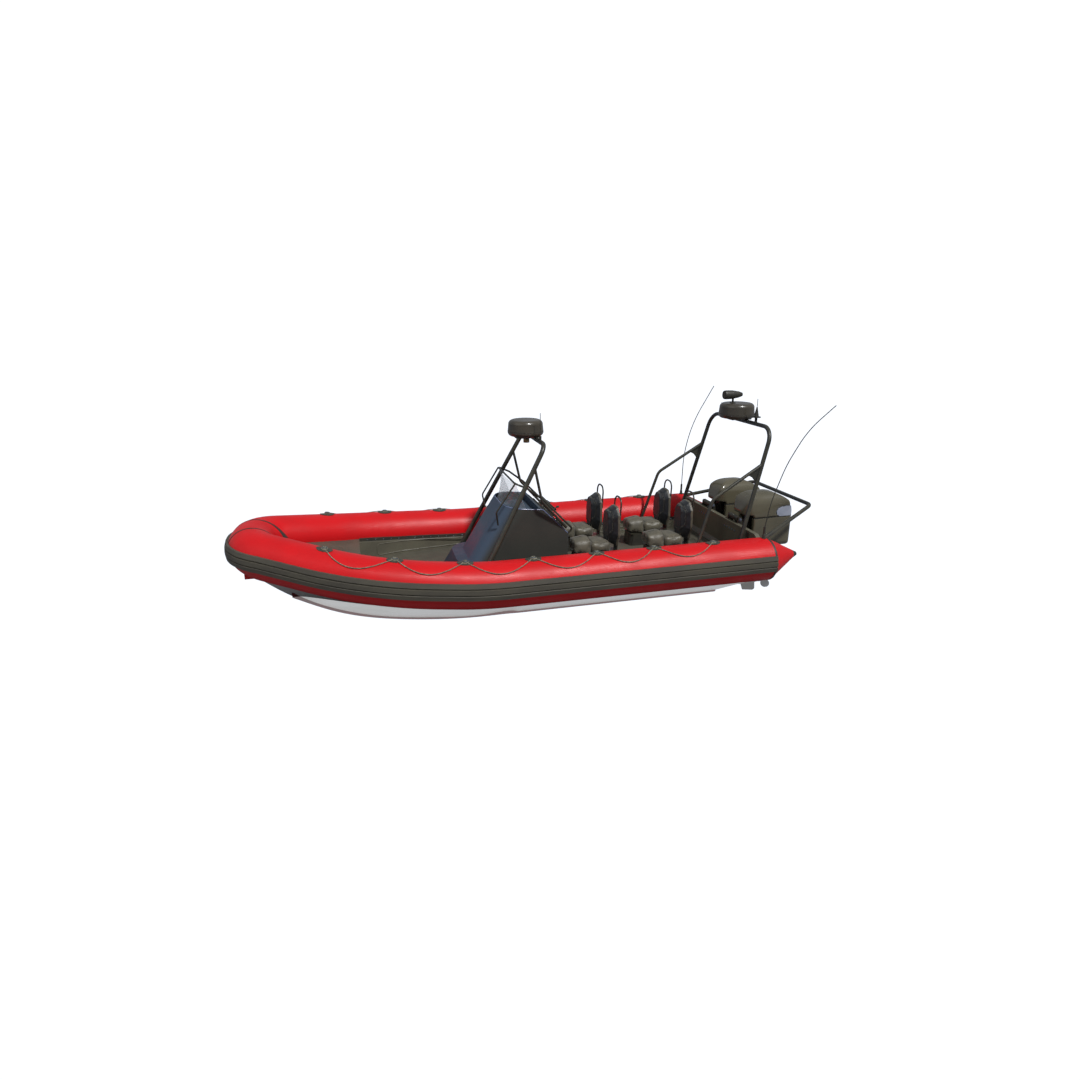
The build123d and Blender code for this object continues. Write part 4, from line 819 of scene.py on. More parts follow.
@dataclass
class Padding:
    """A padded piece made once from a CAD solid by cloth simulation and copied to its places.

    Args:
        node: CAD node that the padded pieces stand for.
        name: Name of the pieces, numbered.
        finish: Finish of the cover.
        shrink: How far the starting shape lies inside the solid.
        swell: Greatest distance that a point may move.
        voxel: Voxel size of the remesh.
        easing: Smoothing passes after the remesh.
        narrowing: Share by which the front face is smaller than the widest section.
        drop: How far the lower edge reaches below the solid's.
        pressure: Pressure inside the cloth.
        fill: How full the piece is; not used.
    """

    node: str
    name: str
    finish: Finishes
    shrink: float = 0.008
    swell: float = 0.014
    voxel: float = 0.010
    easing: int = 2
    narrowing: float = 0.0
    drop: float = 0.0
    pressure: float = 4.0
    fill: float = 0.8

    def build(self) -> list[bpy.types.Object]:
        """Make the piece and its copies."""
        islands = split_islands(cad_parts[self.node].data)
        base = islands[0]
        origin = corner(base)
        mesh = self.inflated(base)
        made = []
        for number, island in enumerate(islands, 1):
            copy = mesh.copy()
            copy.transform(Matrix.Translation(corner(island) - origin))
            piece = enlist(copy, f"{self.name}_{number}", self.finish, "boat", [self.node], 80.0)
            made.append(piece)
        return made

    def shape(self, mesh: bpy.types.Mesh, centre: Vector) -> None:
        """Narrow a mesh towards its front face and let its lower edge down.

        Args:
            mesh: The mesh to move.
            centre: Its middle.
        """
        depth = max(v.co.x for v in mesh.vertices) - centre.x
        height = centre.z - min(v.co.z for v in mesh.vertices)
        for v in mesh.vertices:
            forward = min(max((v.co.x - centre.x) / depth + 0.35, 0.0), 1.0)
            scale = 1.0 - self.narrowing * forward
            below = max((centre.z - v.co.z) / height, 0.0)
            v.co.y = centre.y + (v.co.y - centre.y) * scale
            v.co.z = centre.z + (v.co.z - centre.z) * (1.0 - self.narrowing * forward * 0.5) - self.drop * below

    def inflated(self, island: bmesh.types.BMesh) -> bpy.types.Mesh:
        """Remesh, inflate and smooth one solid.

        Args:
            island: The solid's surface.

        Returns:
            The finished mesh.
        """
        mesh = bpy.data.meshes.new(self.name)
        bmesh.ops.remove_doubles(island, verts=island.verts, dist=1e-5)
        island.to_mesh(mesh)
        holder = bpy.data.objects.new(self.name + "_soft", mesh)
        bpy.context.scene.collection.objects.link(holder)
        remesh = holder.modifiers.new("remesh", "REMESH")
        remesh.mode, remesh.voxel_size = "VOXEL", self.voxel
        smooth = holder.modifiers.new("smooth", "SMOOTH")
        smooth.factor, smooth.iterations = 0.5, self.easing
        bpy.context.view_layer.update()
        even = bpy.data.meshes.new_from_object(holder.evaluated_get(bpy.context.evaluated_depsgraph_get()))
        holder.modifiers.clear()
        holder.data = even
        centre = sum((v.co for v in even.vertices), Vector()) / len(even.vertices)
        for v in even.vertices:
            v.co -= v.normal * self.shrink
        self.shape(even, centre)
        rest = [v.co.copy() for v in even.vertices]
        cloth = holder.modifiers.new("cloth", "CLOTH")
        cloth.settings.quality = 5
        cloth.settings.use_pressure = True
        cloth.settings.uniform_pressure_force = self.pressure
        cloth.settings.tension_stiffness = cloth.settings.compression_stiffness = 20
        cloth.settings.effector_weights.gravity = 0.0
        cloth.collision_settings.use_collision = False
        cloth.point_cache.frame_start, cloth.point_cache.frame_end = 1, 20
        for step in range(1, 21):
            bpy.context.scene.frame_set(step)
        swollen = bpy.data.meshes.new_from_object(holder.evaluated_get(bpy.context.evaluated_depsgraph_get()))
        for v, start, end in zip(even.vertices, rest, swollen.vertices):
            move = end.co - start
            v.co = start + move * min(1.0, self.swell / max(move.length, 1e-9))
        holder.modifiers.clear()
        bpy.data.meshes.remove(swollen)
        bpy.context.scene.frame_set(1)
        fine = holder.modifiers.new("fine", "SUBSURF")
        fine.levels = fine.render_levels = 1
        bpy.context.view_layer.update()
        done = bpy.data.meshes.new_from_object(holder.evaluated_get(bpy.context.evaluated_depsgraph_get()))
        bpy.data.objects.remove(holder)
        log.info("%s: padded from %d points, centre %s", self.name, len(rest), tuple(round(c, 2) for c in centre))
        return done


def split_islands(mesh: bpy.types.Mesh) -> list[bmesh.types.BMesh]:
    """Split a node's mesh into its separate solids, sorted by place.

    Args:
        mesh: The node's mesh.
    """
    whole = bmesh.new()
    whole.from_mesh(mesh)
    bmesh.ops.remove_doubles(whole, verts=whole.verts, dist=1e-5)
    seen: set[int] = set()
    whole.verts.ensure_lookup_table()
    islands = []
    for start in whole.verts:
        if start.index in seen:
            continue
        group, stack = [], [start]
        seen.add(start.index)
        while stack:
            v = stack.pop()
            group.append(v)
            for e in v.link_edges:
                other = e.other_vert(v)
                if other.index not in seen:
                    seen.add(other.index)
                    stack.append(other)
        part = bmesh.new()
        index = {v.index: part.verts.new(v.co) for v in group}
        for f in {f for v in group for f in v.link_faces}:
            part.faces.new([index[v.index] for v in f.verts])
        islands.append(part)
    islands.sort(key=lambda b: tuple(round(c, 2) for c in corner(b)))
    return islands


def corner(part: bmesh.types.BMesh) -> Vector:
    """Return the lowest corner of a surface's box.

    Args:
        part: The surface.
    """
    return Vector(min(v.co[i] for v in part.verts) for i in range(3))


# Pieces of the boat

class SubAssembly(ABC):
    """One group of pieces of the boat."""

    @abstractmethod
    def build(self) -> None:
        """Make the group's pieces and finish its CAD nodes."""


@dataclass
class Collar(SubAssembly):
    """The inflated collar with its seam bands and valves.

    Args:
        band: Half width and lift of a seam band.
        valve_x: Stations of the inflation valves on the tubes' inner side.
    """

    band: tuple[float, float] = (0.014, 0.0030)
    valve_x: Sequence[float] = (0.30,)

    def build(self) -> None:
        """Finish the tubes, then add bands and valves."""
        Finishes.COLLAR.value.dress("collar_nose", "collar_port", "collar_starboard", "stern_cones")
        Finishes.TRIM.value.dress("cone_caps")
        Finishes.STRAKE.value.dress("rubbing_strake")
        Finishes.COLLAR.value.dress("tow_block")
        bands = Draft()
        for _, sign in SIDES:
            self.wrap(bands, Vector((NOSE_SEAM_X, sign * NOSE_SEAM_Y, 0.0)))
            self.ring(bands, "stern_cones", 0, STERN_X, sign)
        bands.piece("collar_seam_bands", Finishes.SEAM)
        self.valves()

    def ring(self, draft: Draft, node: str, axis: int, value: float, side: float) -> None:
        """Draft one band round the tube where two chambers meet.

        Args:
            draft: Where the band goes.
            node: Node with a flat end there.
            axis: Axis that the end is square to.
            value: Where the end lies.
            side: Sign of Y that the end has.
        """
        outline = Probe(node).cut(axis, value, side=side)
        a, b = [i for i in range(3) if i != axis]
        low = [min(p[i] for p in outline) for i in (a, b)]
        high = [max(p[i] for p in outline) for i in (a, b)]
        half, lift = self.band
        rings = []
        for k in range(97):
            t = 2 * math.pi * k / 96
            section = []
            for wide, out in ((-half, -0.002), (-half, lift * 0.6), (-half * 0.6, lift), (half * 0.6, lift), (half, lift * 0.6), (half, -0.002)):
                p = Vector((0.0, 0.0, 0.0))
                p[axis] = value + wide
                p[a] = (low[0] + high[0]) / 2 + ((high[0] - low[0]) / 2 + out) * math.cos(t)
                p[b] = (low[1] + high[1]) / 2 + ((high[1] - low[1]) / 2 + out) * math.sin(t)
                section.append(p)
            rings.append(section)
        draft.loft(rings, capped=False)

    def wrap(self, draft: Draft, place: Vector) -> None:
        """Draft one band round the nose tube by casting rays at its surface.

        Args:
            draft: Where the band goes.
            place: Station of the band; its height is found.
        """
        nose = Probe("collar_nose")
        crest = nose.hit((place.x, place.y, 2.0), (0.0, 0.0, -1.0))[0]
        half, lift = self.band
        rings = []
        for k in range(97):
            t = 2 * math.pi * k / 96
            way = Vector((math.cos(t), 0.0, math.sin(t)))
            section = []
            for wide, out in ((-half, -0.002), (-half, lift * 0.6), (-half * 0.6, lift), (half * 0.6, lift), (half, lift * 0.6), (half, -0.002)):
                middle = Vector((place.x, place.y + wide, crest.z - COLLAR_R))
                found, normal = nose.hit(middle + way * COLLAR_R * 1.5, -way)
                section.append(found + normal * out)
            rings.append(section)
        draft.loft(rings, capped=False)

    def valves(self) -> None:
        """Add the inflation valves: a flange, a cap and its grip."""
        draft = Draft()
        probe = {1.0: Probe("collar_port"), -1.0: Probe("collar_starboard")}
        for _, sign in SIDES:
            for x in self.valve_x:
                found = probe[sign].hit((x, 0.0, 0.56), (0.0, sign, 0.0))
                if found:
                    place = placed(found[0], found[1], Vector((1, 0, 0)))
                    draft.lathe([(0.040, -0.002), (0.040, 0.003), (0.036, 0.006), (0.026, 0.007), (0.025, 0.013), (0.020, 0.016), (0.004, 0.016)], place)
                    draft.block((0.034, 0.006, 0.006), place @ Matrix.Translation((0, 0, 0.018)), 0.002)
        draft.piece("collar_valves", Finishes.TRIM)


# The grab line's route on the port side, from the sternmost pad to the foremost, seven points to a loop.
GRAB_ROUTE: tuple[Point, ...] = (
    (-2.3120, 1.2250, 0.6785), (-2.2299, 1.3098, 0.6602), (-2.1150, 1.3895, 0.6229), (-1.9754, 1.4336, 0.5872),
    (-1.8276, 1.4336, 0.5872), (-1.6880, 1.3895, 0.6229), (-1.5731, 1.3098, 0.6602), (-1.4910, 1.2250, 0.6785),
    (-1.4148, 1.3098, 0.6602), (-1.3081, 1.3895, 0.6229), (-1.1786, 1.4336, 0.5872), (-1.0414, 1.4336, 0.5872),
    (-0.9119, 1.3895, 0.6229), (-0.8052, 1.3098, 0.6602), (-0.7290, 1.2250, 0.6785), (-0.6482, 1.3098, 0.6602),
    (-0.5351, 1.3895, 0.6229), (-0.3977, 1.4336, 0.5872), (-0.2523, 1.4336, 0.5872), (-0.1149, 1.3895, 0.6229),
    (-0.0018, 1.3098, 0.6602), (0.0790, 1.2250, 0.6785), (0.1632, 1.3098, 0.6602), (0.2812, 1.3895, 0.6229),
    (0.4246, 1.4335, 0.5872), (0.5794, 1.4307, 0.5887), (0.7210, 1.3793, 0.6284), (0.8298, 1.2908, 0.6707),
    (0.9014, 1.1983, 0.6936), (0.9932, 1.2727, 0.6807), (1.1207, 1.3366, 0.6515), (1.2697, 1.3618, 0.6257),
    (1.4224, 1.3382, 0.6369), (1.5534, 1.2684, 0.6843), (1.6466, 1.1660, 0.7320), (1.7034, 1.0646, 0.7583),
    (1.8099, 1.1236, 0.7488), (1.9536, 1.1639, 0.7247), (2.1132, 1.1573, 0.7060), (2.2624, 1.1018, 0.7254),
    (2.3785, 1.0060, 0.7805), (2.4501, 0.8863, 0.8346), (2.4859, 0.7751, 0.8656),
)
LOOP_POINTS = 7


@dataclass
class GrabLines(SubAssembly):
    """The laid ropes looped along the collar, and what ties them to the pads.

    Args:
        diameter: Thickness of the rope.
        pitch: Length of one full turn of its strands.
        strands: Number of strands.
    """

    diameter: float = 0.013
    pitch: float = 0.046
    strands: int = 3

    def build(self) -> None:
        """Make both ropes and the lashings."""
        Finishes.PAD.value.dress("grab_pads")
        lashings, rings = Draft(), Draft()
        for side, sign in SIDES:
            route = [Vector((x, sign * y, z)) for x, y, z in GRAB_ROUTE]
            self.rope(side, route)
            for k in range(0, len(route), LOOP_POINTS - 0):
                self.eye(lashings, rings, route, k)
        lashings.piece("pad_lashings", Finishes.ROPE)
        rings.piece("pad_rings", Finishes.STEEL)

    def rope(self, side: str, route: Sequence[Vector]) -> None:
        """Args:
            side: Name of the boat's side.
            route: Control points of the rope's centreline.
        """
        path = smooth_route(f"grab_route_{side}", route)
        draft = Draft()
        total = [0.0]
        for p, q in zip(path, path[1:]):
            total.append(total[-1] + (q - p).length)
        steps = int(total[-1] / 0.0065)
        even = resampled(path, total, steps)
        frames = carried(even)
        reach, thick = self.diameter * 0.265, self.diameter * 0.235
        for strand in range(self.strands):
            line = []
            for i, (p, across, up) in enumerate(frames):
                turn = 2 * math.pi * (i * total[-1] / steps / self.pitch + strand / self.strands)
                line.append(p + across * (reach * math.cos(turn)) + up * (reach * math.sin(turn)))
            draft.tube(line, thick, sides=6)
        rope = draft.piece(f"grab_rope_{side}", Finishes.ROPE, "boat", [f"grab_line_{side}"], 80.0)

    def eye(self, lashings: Draft, rings: Draft, route: Sequence[Vector], k: int) -> None:
        """Draft the ring and the turns of cord at one pad.

        Args:
            lashings: Draft of the turns.
            rings: Draft of the metal rings.
            route: The rope's control points.
            k: Index of the pad's point.
        """
        before, after = route[max(k - LOOP_POINTS, 0)], route[min(k + LOOP_POINTS, len(route) - 1)]
        along = (after - before).normalized()
        across = Vector((0, 0, 1)).cross(along).normalized()
        place = placed(route[k], along.cross(across) if along.cross(across).z > 0 else across.cross(along), along)
        for radius, height in ((0.037, -0.0085), (0.036, -0.001)):
            ring = [place @ Vector((radius * math.cos(t), radius * math.sin(t), height + 0.0012 * math.sin(3 * t)))
                    for t in (2 * math.pi * i / 28 for i in range(28))]
            lashings.tube(ring, 0.0036, sides=8, closed=True)
        for lean in (-0.9, 0.0, 0.9):
            knot = [place @ Vector((0.020 * math.cos(t) * math.cos(lean) - 0.008 * math.sin(t) * math.sin(lean),
                                    0.020 * math.cos(t) * math.sin(lean) + 0.008 * math.sin(t) * math.cos(lean),
                                    0.0105 + 0.003 * math.sin(2 * t))) for t in (2 * math.pi * i / 24 for i in range(24))]
            lashings.tube(knot, 0.0034, sides=8, closed=True)
        ring = [place @ Vector((0.030 * math.cos(t), 0.030 * math.sin(t), 0.0098)) for t in (2 * math.pi * i / 32 for i in range(32))]
        rings.tube(ring, 0.0030, sides=8, closed=True)


def smooth_route(name: str, route: Sequence[Vector]) -> list[Vector]:
    """Return the points of the smooth spline that a route's points control.

    Args:
        name: Name for the curve.
        route: Control points.
    """
    data = bpy.data.curves.new(name, "CURVE")
    data.dimensions = "3D"
    data.resolution_u = 10
    spline = data.splines.new("NURBS")
    spline.points.add(len(route) - 1)
    for point, place in zip(spline.points, route):
        point.co = (*place, 1.0)
    spline.order_u = 3
    spline.use_endpoint_u = True
    holder = bpy.data.objects.new(name, data)
    bpy.context.scene.collection.objects.link(holder)
    bpy.context.view_layer.update()
    line = bpy.data.meshes.new_from_object(holder.evaluated_get(bpy.context.evaluated_depsgraph_get()))
    points = [v.co.copy() for v in line.vertices]
    bpy.data.objects.remove(holder)
    bpy.data.meshes.remove(line)
    return points


def resampled(path: Sequence[Vector], total: Sequence[float], steps: int) -> list[Vector]:
    """Return evenly spaced points along a line.

    Args:
        path: The line's points.
        total: Length up to each point.
        steps: Number of steps.
    """
    points, k = [], 0
    for i in range(steps + 1):
        reach = total[-1] * i / steps
        while k < len(path) - 2 and total[k + 1] < reach:
            k += 1
        share = (reach - total[k]) / max(total[k + 1] - total[k], 1e-9)
        points.append(path[k].lerp(path[k + 1], min(max(share, 0.0), 1.0)))
    return points


def carried(points: Sequence[Vector]) -> list[tuple[Vector, Vector, Vector]]:
    """Carry a frame along a line without twist.

    Args:
        points: The line's points.

    Returns:
        Each point with its two cross directions.
    """
    frames, across = [], None
    for i, p in enumerate(points):
        along = (points[min(i + 1, len(points) - 1)] - points[max(i - 1, 0)]).normalized()
        across = across or along.orthogonal().normalized()
        across = (across - along * across.dot(along)).normalized()
        frames.append((p, across, along.cross(across)))
    return frames


@dataclass
class Decks(SubAssembly):
    """Hull and decks, with the rails' rivets, the liners' beads and the deck's fittings.

    Args:
        rivet_spacing: Distance between rivets on the rails.
        rail_from: Aft end of the riveted run.
        rail_to: Forward end of it.
    """

    rivet_spacing: float = 0.115
    rail_from: float = -2.86
    rail_to: float = 1.98

    def build(self) -> None:
        """Finish the hull and decks, then add the small pieces."""
        Finishes.HULL.value.dress("hull")
        Finishes.KEEL.value.dress("keel_strip")
        Finishes.DECK.value.dress("cockpit_sole", "bow_deck")
        Finishes.LINER.value.dress("side_liners", "transom")
        Finishes.TRIM.value.dress("collar_rails")
        rail = Probe("collar_rails")
        lines = [self.band(rail, sign, (0.30, 0.56), self.rail_from, self.rail_to) for _, sign in SIDES]
        Row("rail_rivets", Finishes.STEEL, [[(p, n) for p, n, _, _ in line] for line in lines], self.rivet_spacing).build(dome(0.0075, 0.0045))
        lips = Draft()
        for line in lines:
            lips.tube([Vector((p.x, p.y, low - 0.004)) + n * 0.002 for p, n, low, _ in line], 0.006, sides=8)
        lips.piece("rail_lips", Finishes.TRIM)
        self.liner_beads()
        self.hatches()
        self.transom_fittings()

    def band(self, probe: Probe, sign: float, span: tuple[float, float], start: float, end: float) -> list[tuple[Vector, Vector, float, float]]:
        """Follow the inner face of a long band along the boat.

        Args:
            probe: Probe of the band's node.
            sign: Side of the boat.
            span: Heights between which the band lies.
            start: Aft end.
            end: Forward end.

        Returns:
            For each station the middle point, its normal, and the band's lowest and highest heights there.
        """
        line = []
        steps = int((end - start) / 0.08)
        for i in range(steps + 1):
            x = start + (end - start) * i / steps
            hits = []
            for k in range(60):
                z = span[0] + (span[1] - span[0]) * k / 59
                found = probe.hit((x, 0.0, z), (0.0, sign, 0.0))
                if found and abs(found[1].z) < 0.5:
                    hits.append(found)
            if hits:
                near = min(abs(p.y) for p, _ in hits)
                face = [(p, n) for p, n in hits if abs(p.y) < near + 0.004]
                low, high = min(p.z for p, _ in face), max(p.z for p, _ in face)
                line.append((Vector((x, face[0][0].y, (low + high) / 2)), face[0][1], low, high))
        return line

    def liner_beads(self) -> None:
        """Add the raised bead that frames each side liner, with rounded ends."""
        probe = Probe("side_liners")
        draft = Draft()
        for _, sign in SIDES:
            for start, end in ((-2.75, -0.95), (-0.75, 1.86)):
                corners: list[tuple[float, float]] = []
                low, high, r = 0.235, 0.0, 0.05
                for x, z_of, a0, a1 in ((end - r, "high", 90, 0), (end - r, "low", 0, -90), (start + r, "low", -90, -180), (start + r, "high", 180, 90)):
                    for k in range(5):
                        t = math.radians(a0 + (a1 - a0) * k / 4)
                        top = self.liner_top(probe, sign, x) - 0.035
                        base = (top - r) if z_of == "high" else low + r
                        corners.append((x + r * math.cos(t), base + r * math.sin(t)))
                loop: list[Vector] = []
                for (x0, z0), (x1, z1) in zip(corners, corners[1:] + corners[:1]):
                    for k in range(max(1, int(abs(x1 - x0) / 0.1))):
                        share = k / max(1, int(abs(x1 - x0) / 0.1))
                        x = x0 + (x1 - x0) * share
                        found = probe.hit((x, 0.0, z0 + (z1 - z0) * share), (0.0, sign, 0.0))
                        if found:
                            loop.append(found[0] + found[1] * 0.001)
                if len(loop) > 20:
                    draft.tube(loop, 0.0055, sides=8, closed=True)
        draft.piece("liner_beads", Finishes.LINER)

    def liner_top(self, probe: Probe, sign: float, x: float) -> float:
        """Return the height of a liner's top edge at a station.

        Args:
            probe: Probe of the liners.
            sign: Side of the boat.
            x: Station.
        """
        heights = [0.24 + 0.005 * k for k in range(60)]
        found = [z for z in heights if (hit := probe.hit((x, 0.0, z), (0.0, sign, 0.0))) and abs(hit[0].y) < 0.93]
        return max(found) if found else 0.33

    def hatches(self) -> None:
        """Add flush hatches on the sole and the bow deck, each with a rim, hinges and a ring pull."""
        rims, metal = Draft(), Draft()
        sole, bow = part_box("cockpit_sole")[1].z, Probe("bow_deck").hit((2.5, 0.0, 1.5), (0.0, 0.0, -1.0))
        spots = [((1.50, 0.0, sole), (0.46, 0.62), Vector((0, 0, 1))), ((-2.66, 0.0, sole), (0.34, 0.60), Vector((0, 0, 1)))]
        if bow:
            spots.append((tuple(bow[0]), (0.40, 0.44), bow[1]))
        for spot, (length, width), up in spots:
            place = placed(Vector(spot), up, Vector((1, 0, 0)))
            outline = rounded(length, width, 0.05)
            rims.tube([place @ Vector((x, y, 0.0015)) for x, y in outline], 0.005, sides=8, closed=True)
            rims.prism(rounded(length - 0.03, width - 0.03, 0.04), 0.004, place, 0.0015)
            for y in (-width * 0.28, width * 0.28):
                metal.block((0.036, 0.05, 0.005), place @ Matrix.Translation((length / 2 - 0.006, y, 0.005)), 0.002)
                metal.tube([place @ Vector((length / 2 + 0.006, y + d, 0.008)) for d in (-0.024, 0.024)], 0.004, sides=10)
            metal.lathe([(0.026, 0.002), (0.026, 0.006), (0.021, 0.007), (0.020, 0.005), (0.002, 0.005)],
                        place @ Matrix.Translation((-length / 2 + 0.06, 0, 0)))
            ring = [place @ Vector((-length / 2 + 0.06 + 0.015 * math.cos(t), 0.015 * math.sin(t), 0.0078))
                    for t in (2 * math.pi * k / 20 for k in range(20))]
            metal.tube(ring, 0.002, sides=6, closed=True)
        rims.piece("deck_hatches", Finishes.DECK)
        metal.piece("hatch_fittings", Finishes.STEEL)

    def transom_fittings(self) -> None:
        """Add the transom's corner straps and its row of bolts."""
        probe = Probe("transom")
        straps = Draft()
        rows = []
        for _, sign in SIDES:
            found = probe.hit((-2.7, sign * 0.86, 0.50), (-1.0, 0.0, 0.0))
            if found:
                straps.block((0.26, 0.07, 0.006), placed(found[0] + Vector((0.002, 0, 0)), Vector((1, 0, 0)), Vector((0, 0, 1))), 0.002)
            engine = []
            for k in range(5):
                hit = probe.hit((-2.7, sign * ENGINE_Y + (k - 2) * 0.07, 0.56), (-1.0, 0.0, 0.0))
                if hit:
                    engine.append(hit)
            rows.append(engine)
        straps.piece("transom_straps", Finishes.TRIM)
        Row("transom_bolts", Finishes.STEEL, [r for r in rows if len(r) > 1], 0.068).build(hex_bolt(0.011, 0.007))


def rounded(length: float, width: float, radius: float, steps: int = 5) -> list[tuple[float, float]]:
    """Return the outline of a rounded rectangle about the origin.

    Args:
        length: Size along X.
        width: Size along Y.
        radius: Corner radius.
        steps: Steps of each corner.
    """
    points = []
    for sx, sy, start in ((1, 1, 0), (-1, 1, 90), (-1, -1, 180), (1, -1, 270)):
        for k in range(steps + 1):
            t = math.radians(start + 90 * k / steps)
            points.append((sx * (length / 2 - radius) + radius * math.cos(t), sy * (width / 2 - radius) + radius * math.sin(t)))
    return points


def hex_bolt(radius: float, height: float) -> Draft:
    """Draft a hexagon bolt head on a washer at the origin.

    Args:
        radius: Radius over the corners.
        height: Height of the head.
    """
    item = Draft()
    item.lathe([(radius * 1.35, -0.001), (radius * 1.35, 0.0015), (radius * 1.2, 0.002)], Matrix.Identity(4), 20)
    item.lathe([(radius, 0.0015), (radius, height * 0.85), (radius * 0.86, height)], Matrix.Identity(4), 6)
    return item


@dataclass
class Console(SubAssembly):
    """The console with its rim bead, instruments and engine controls.

    Args:
        half: Half width of the console.
        corner: Radius of its front corners.
        lean: Run aft for each unit of height; not used.
        bead: Radius of the rim's bead.
    """

    half: float = 0.480
    corner: float = 0.290
    lean: float = 0.64
    bead: float = 0.007

    def build(self) -> None:
        """Finish the console, then add the small pieces."""
        Finishes.CONSOLE.value.dress("console")
        Finishes.PLINTH.value.dress("console_plinth")
        Finishes.PANEL.value.dress("dash_panel")
        Finishes.TRIM.value.dress("helm_bearing", "helm_wheel")
        Finishes.TUBE.value.dress("screen_frame")
        Finishes.SCREEN.value.dress("windscreen")
        self.rim()
        self.instruments()
        self.controls()
        self.helm_cap()

    def rim(self) -> None:
        """Add the bead along the console's top edge and down its sloping sides."""
        probe = Probe("console")
        draft = Draft()
        inset = 0.0035
        half_line: list[Vector] = []
        for k in range(13):
            t = math.radians(90 * k / 12)
            reach = self.corner - inset
            x = (-0.0361 + reach * math.cos(t) + 0.01914) / 1.0733
            y = self.half - self.corner + reach * math.sin(t)
            half_line.append(Vector((x, y, 0.0)))
        for k in range(1, 6):
            half_line.append(Vector((-0.0158 - 0.229 * k / 5, self.half - inset, 0.0)))
        for k in range(1, 9):
            half_line.append(Vector((-0.245 - 0.340 * k / 8, self.half - inset, 0.0)))
        for p in half_line:
            found = probe.hit((p.x, p.y, 1.4), (0.0, 0.0, -1.0))
            p.z = (found[0].z if found else 1.05 + 0.1146 * (p.x + 0.245)) + 0.001
        whole = [Vector((p.x, -p.y, p.z)) for p in reversed(half_line)] + half_line
        draft.tube(whole, self.bead, sides=8)
        draft.piece("console_rim", Finishes.RIM)

    def on_dash(self, probe: Probe, across: float, along: float) -> Optional[Matrix]:
        """Return a placement on the dash, with X to port and Y up the slope.

        Args:
            probe: Probe of the dash panel.
            across: Place to port.
            along: Place up the slope from its middle.
        """
        up = Vector((1, 0, 1)).normalized()
        out = Vector((-1, 0, 1)).normalized()
        start = Vector((-0.4175, across, 0.8775)) + up * along + out * 0.4
        found = probe.hit(tuple(start), tuple(-out))
        return placed(found[0], out, Vector((0, 1, 0))) if found else None

    def instruments(self) -> None:
        """Add gauges with needles and ticks, two screens and rows of switches."""
        probe = Probe("dash_panel")
        bezels, faces, marks = Draft(), Draft(), Draft()
        gauges = [(-0.285, 0.115, 0.045, 200), (-0.175, 0.125, 0.045, 250), (-0.375, 0.10, 0.030, 120), (0.0, 0.150, 0.034, 60),
                  (-0.085, 0.130, 0.030, 310), (0.385, 0.12, 0.032, 150), (0.385, 0.035, 0.032, 90)]
        for across, along, r, needle in gauges:
            place = self.on_dash(probe, across, along)
            if place is None:
                continue
            bezels.lathe([(r + 0.006, -0.001), (r + 0.006, 0.007), (r + 0.002, 0.010), (r - 0.002, 0.009), (r - 0.003, 0.003)], place)
            faces.lathe([(r - 0.002, 0.0), (r - 0.002, 0.0035), (0.001, 0.0035)], place)
            for k in range(11):
                t = math.radians(-45 + 27 * k)
                marks.block((0.0014 if k % 5 else 0.0026, r * 0.16, 0.0006), place @ Matrix.Rotation(t, 4, "Z") @ Matrix.Translation((0, r * 0.78, 0.004)))
            marks.block((0.0018, r * 0.72, 0.0008), place @ Matrix.Rotation(math.radians(needle), 4, "Z") @ Matrix.Translation((0, r * 0.30, 0.0048)))
            marks.lathe([(0.005, 0.004), (0.005, 0.0065), (0.002, 0.007)], place, 16)
        for across, along, width, height in ((0.205, 0.085, 0.235, 0.150), (0.300, -0.115, 0.150, 0.100)):
            place = self.on_dash(probe, across, along)
            if place is None:
                continue
            bezels.prism(rounded(width, height, 0.014), 0.022, place, 0.005)
            faces.prism(rounded(width - 0.036, height - 0.034, 0.005), 0.0012, place @ Matrix.Translation((0, 0.003, 0.0215)), 0.0005)
            for k in range(5):
                marks.block((0.014, 0.005, 0.0015), place @ Matrix.Translation((-width * 0.32 + k * width * 0.16, -height / 2 + 0.0075, 0.0225)), 0.001)
        rows = [(across, -0.035 - 0.055 * row) for row in range(2) for across in (0.085, 0.120, 0.155, 0.190)]
        for across, along in rows:
            place = self.on_dash(probe, across, along)
            if place is not None:
                bezels.prism(rounded(0.024, 0.040, 0.004), 0.004, place, 0.0015)
                faces.block((0.015, 0.028, 0.008), place @ Matrix.Translation((0, 0, 0.006)) @ Matrix.Rotation(0.18, 4, "X"), 0.002)
                marks.lathe([(0.0018, 0.0105), (0.0018, 0.0115), (0.001, 0.012)], place @ Matrix.Translation((0, 0.009, 0)), 8)
        bezels.piece("instrument_bezels", Finishes.TRIM)
        faces.piece("instrument_faces", Finishes.DIAL)
        marks.piece("instrument_marks", Finishes.MARK)

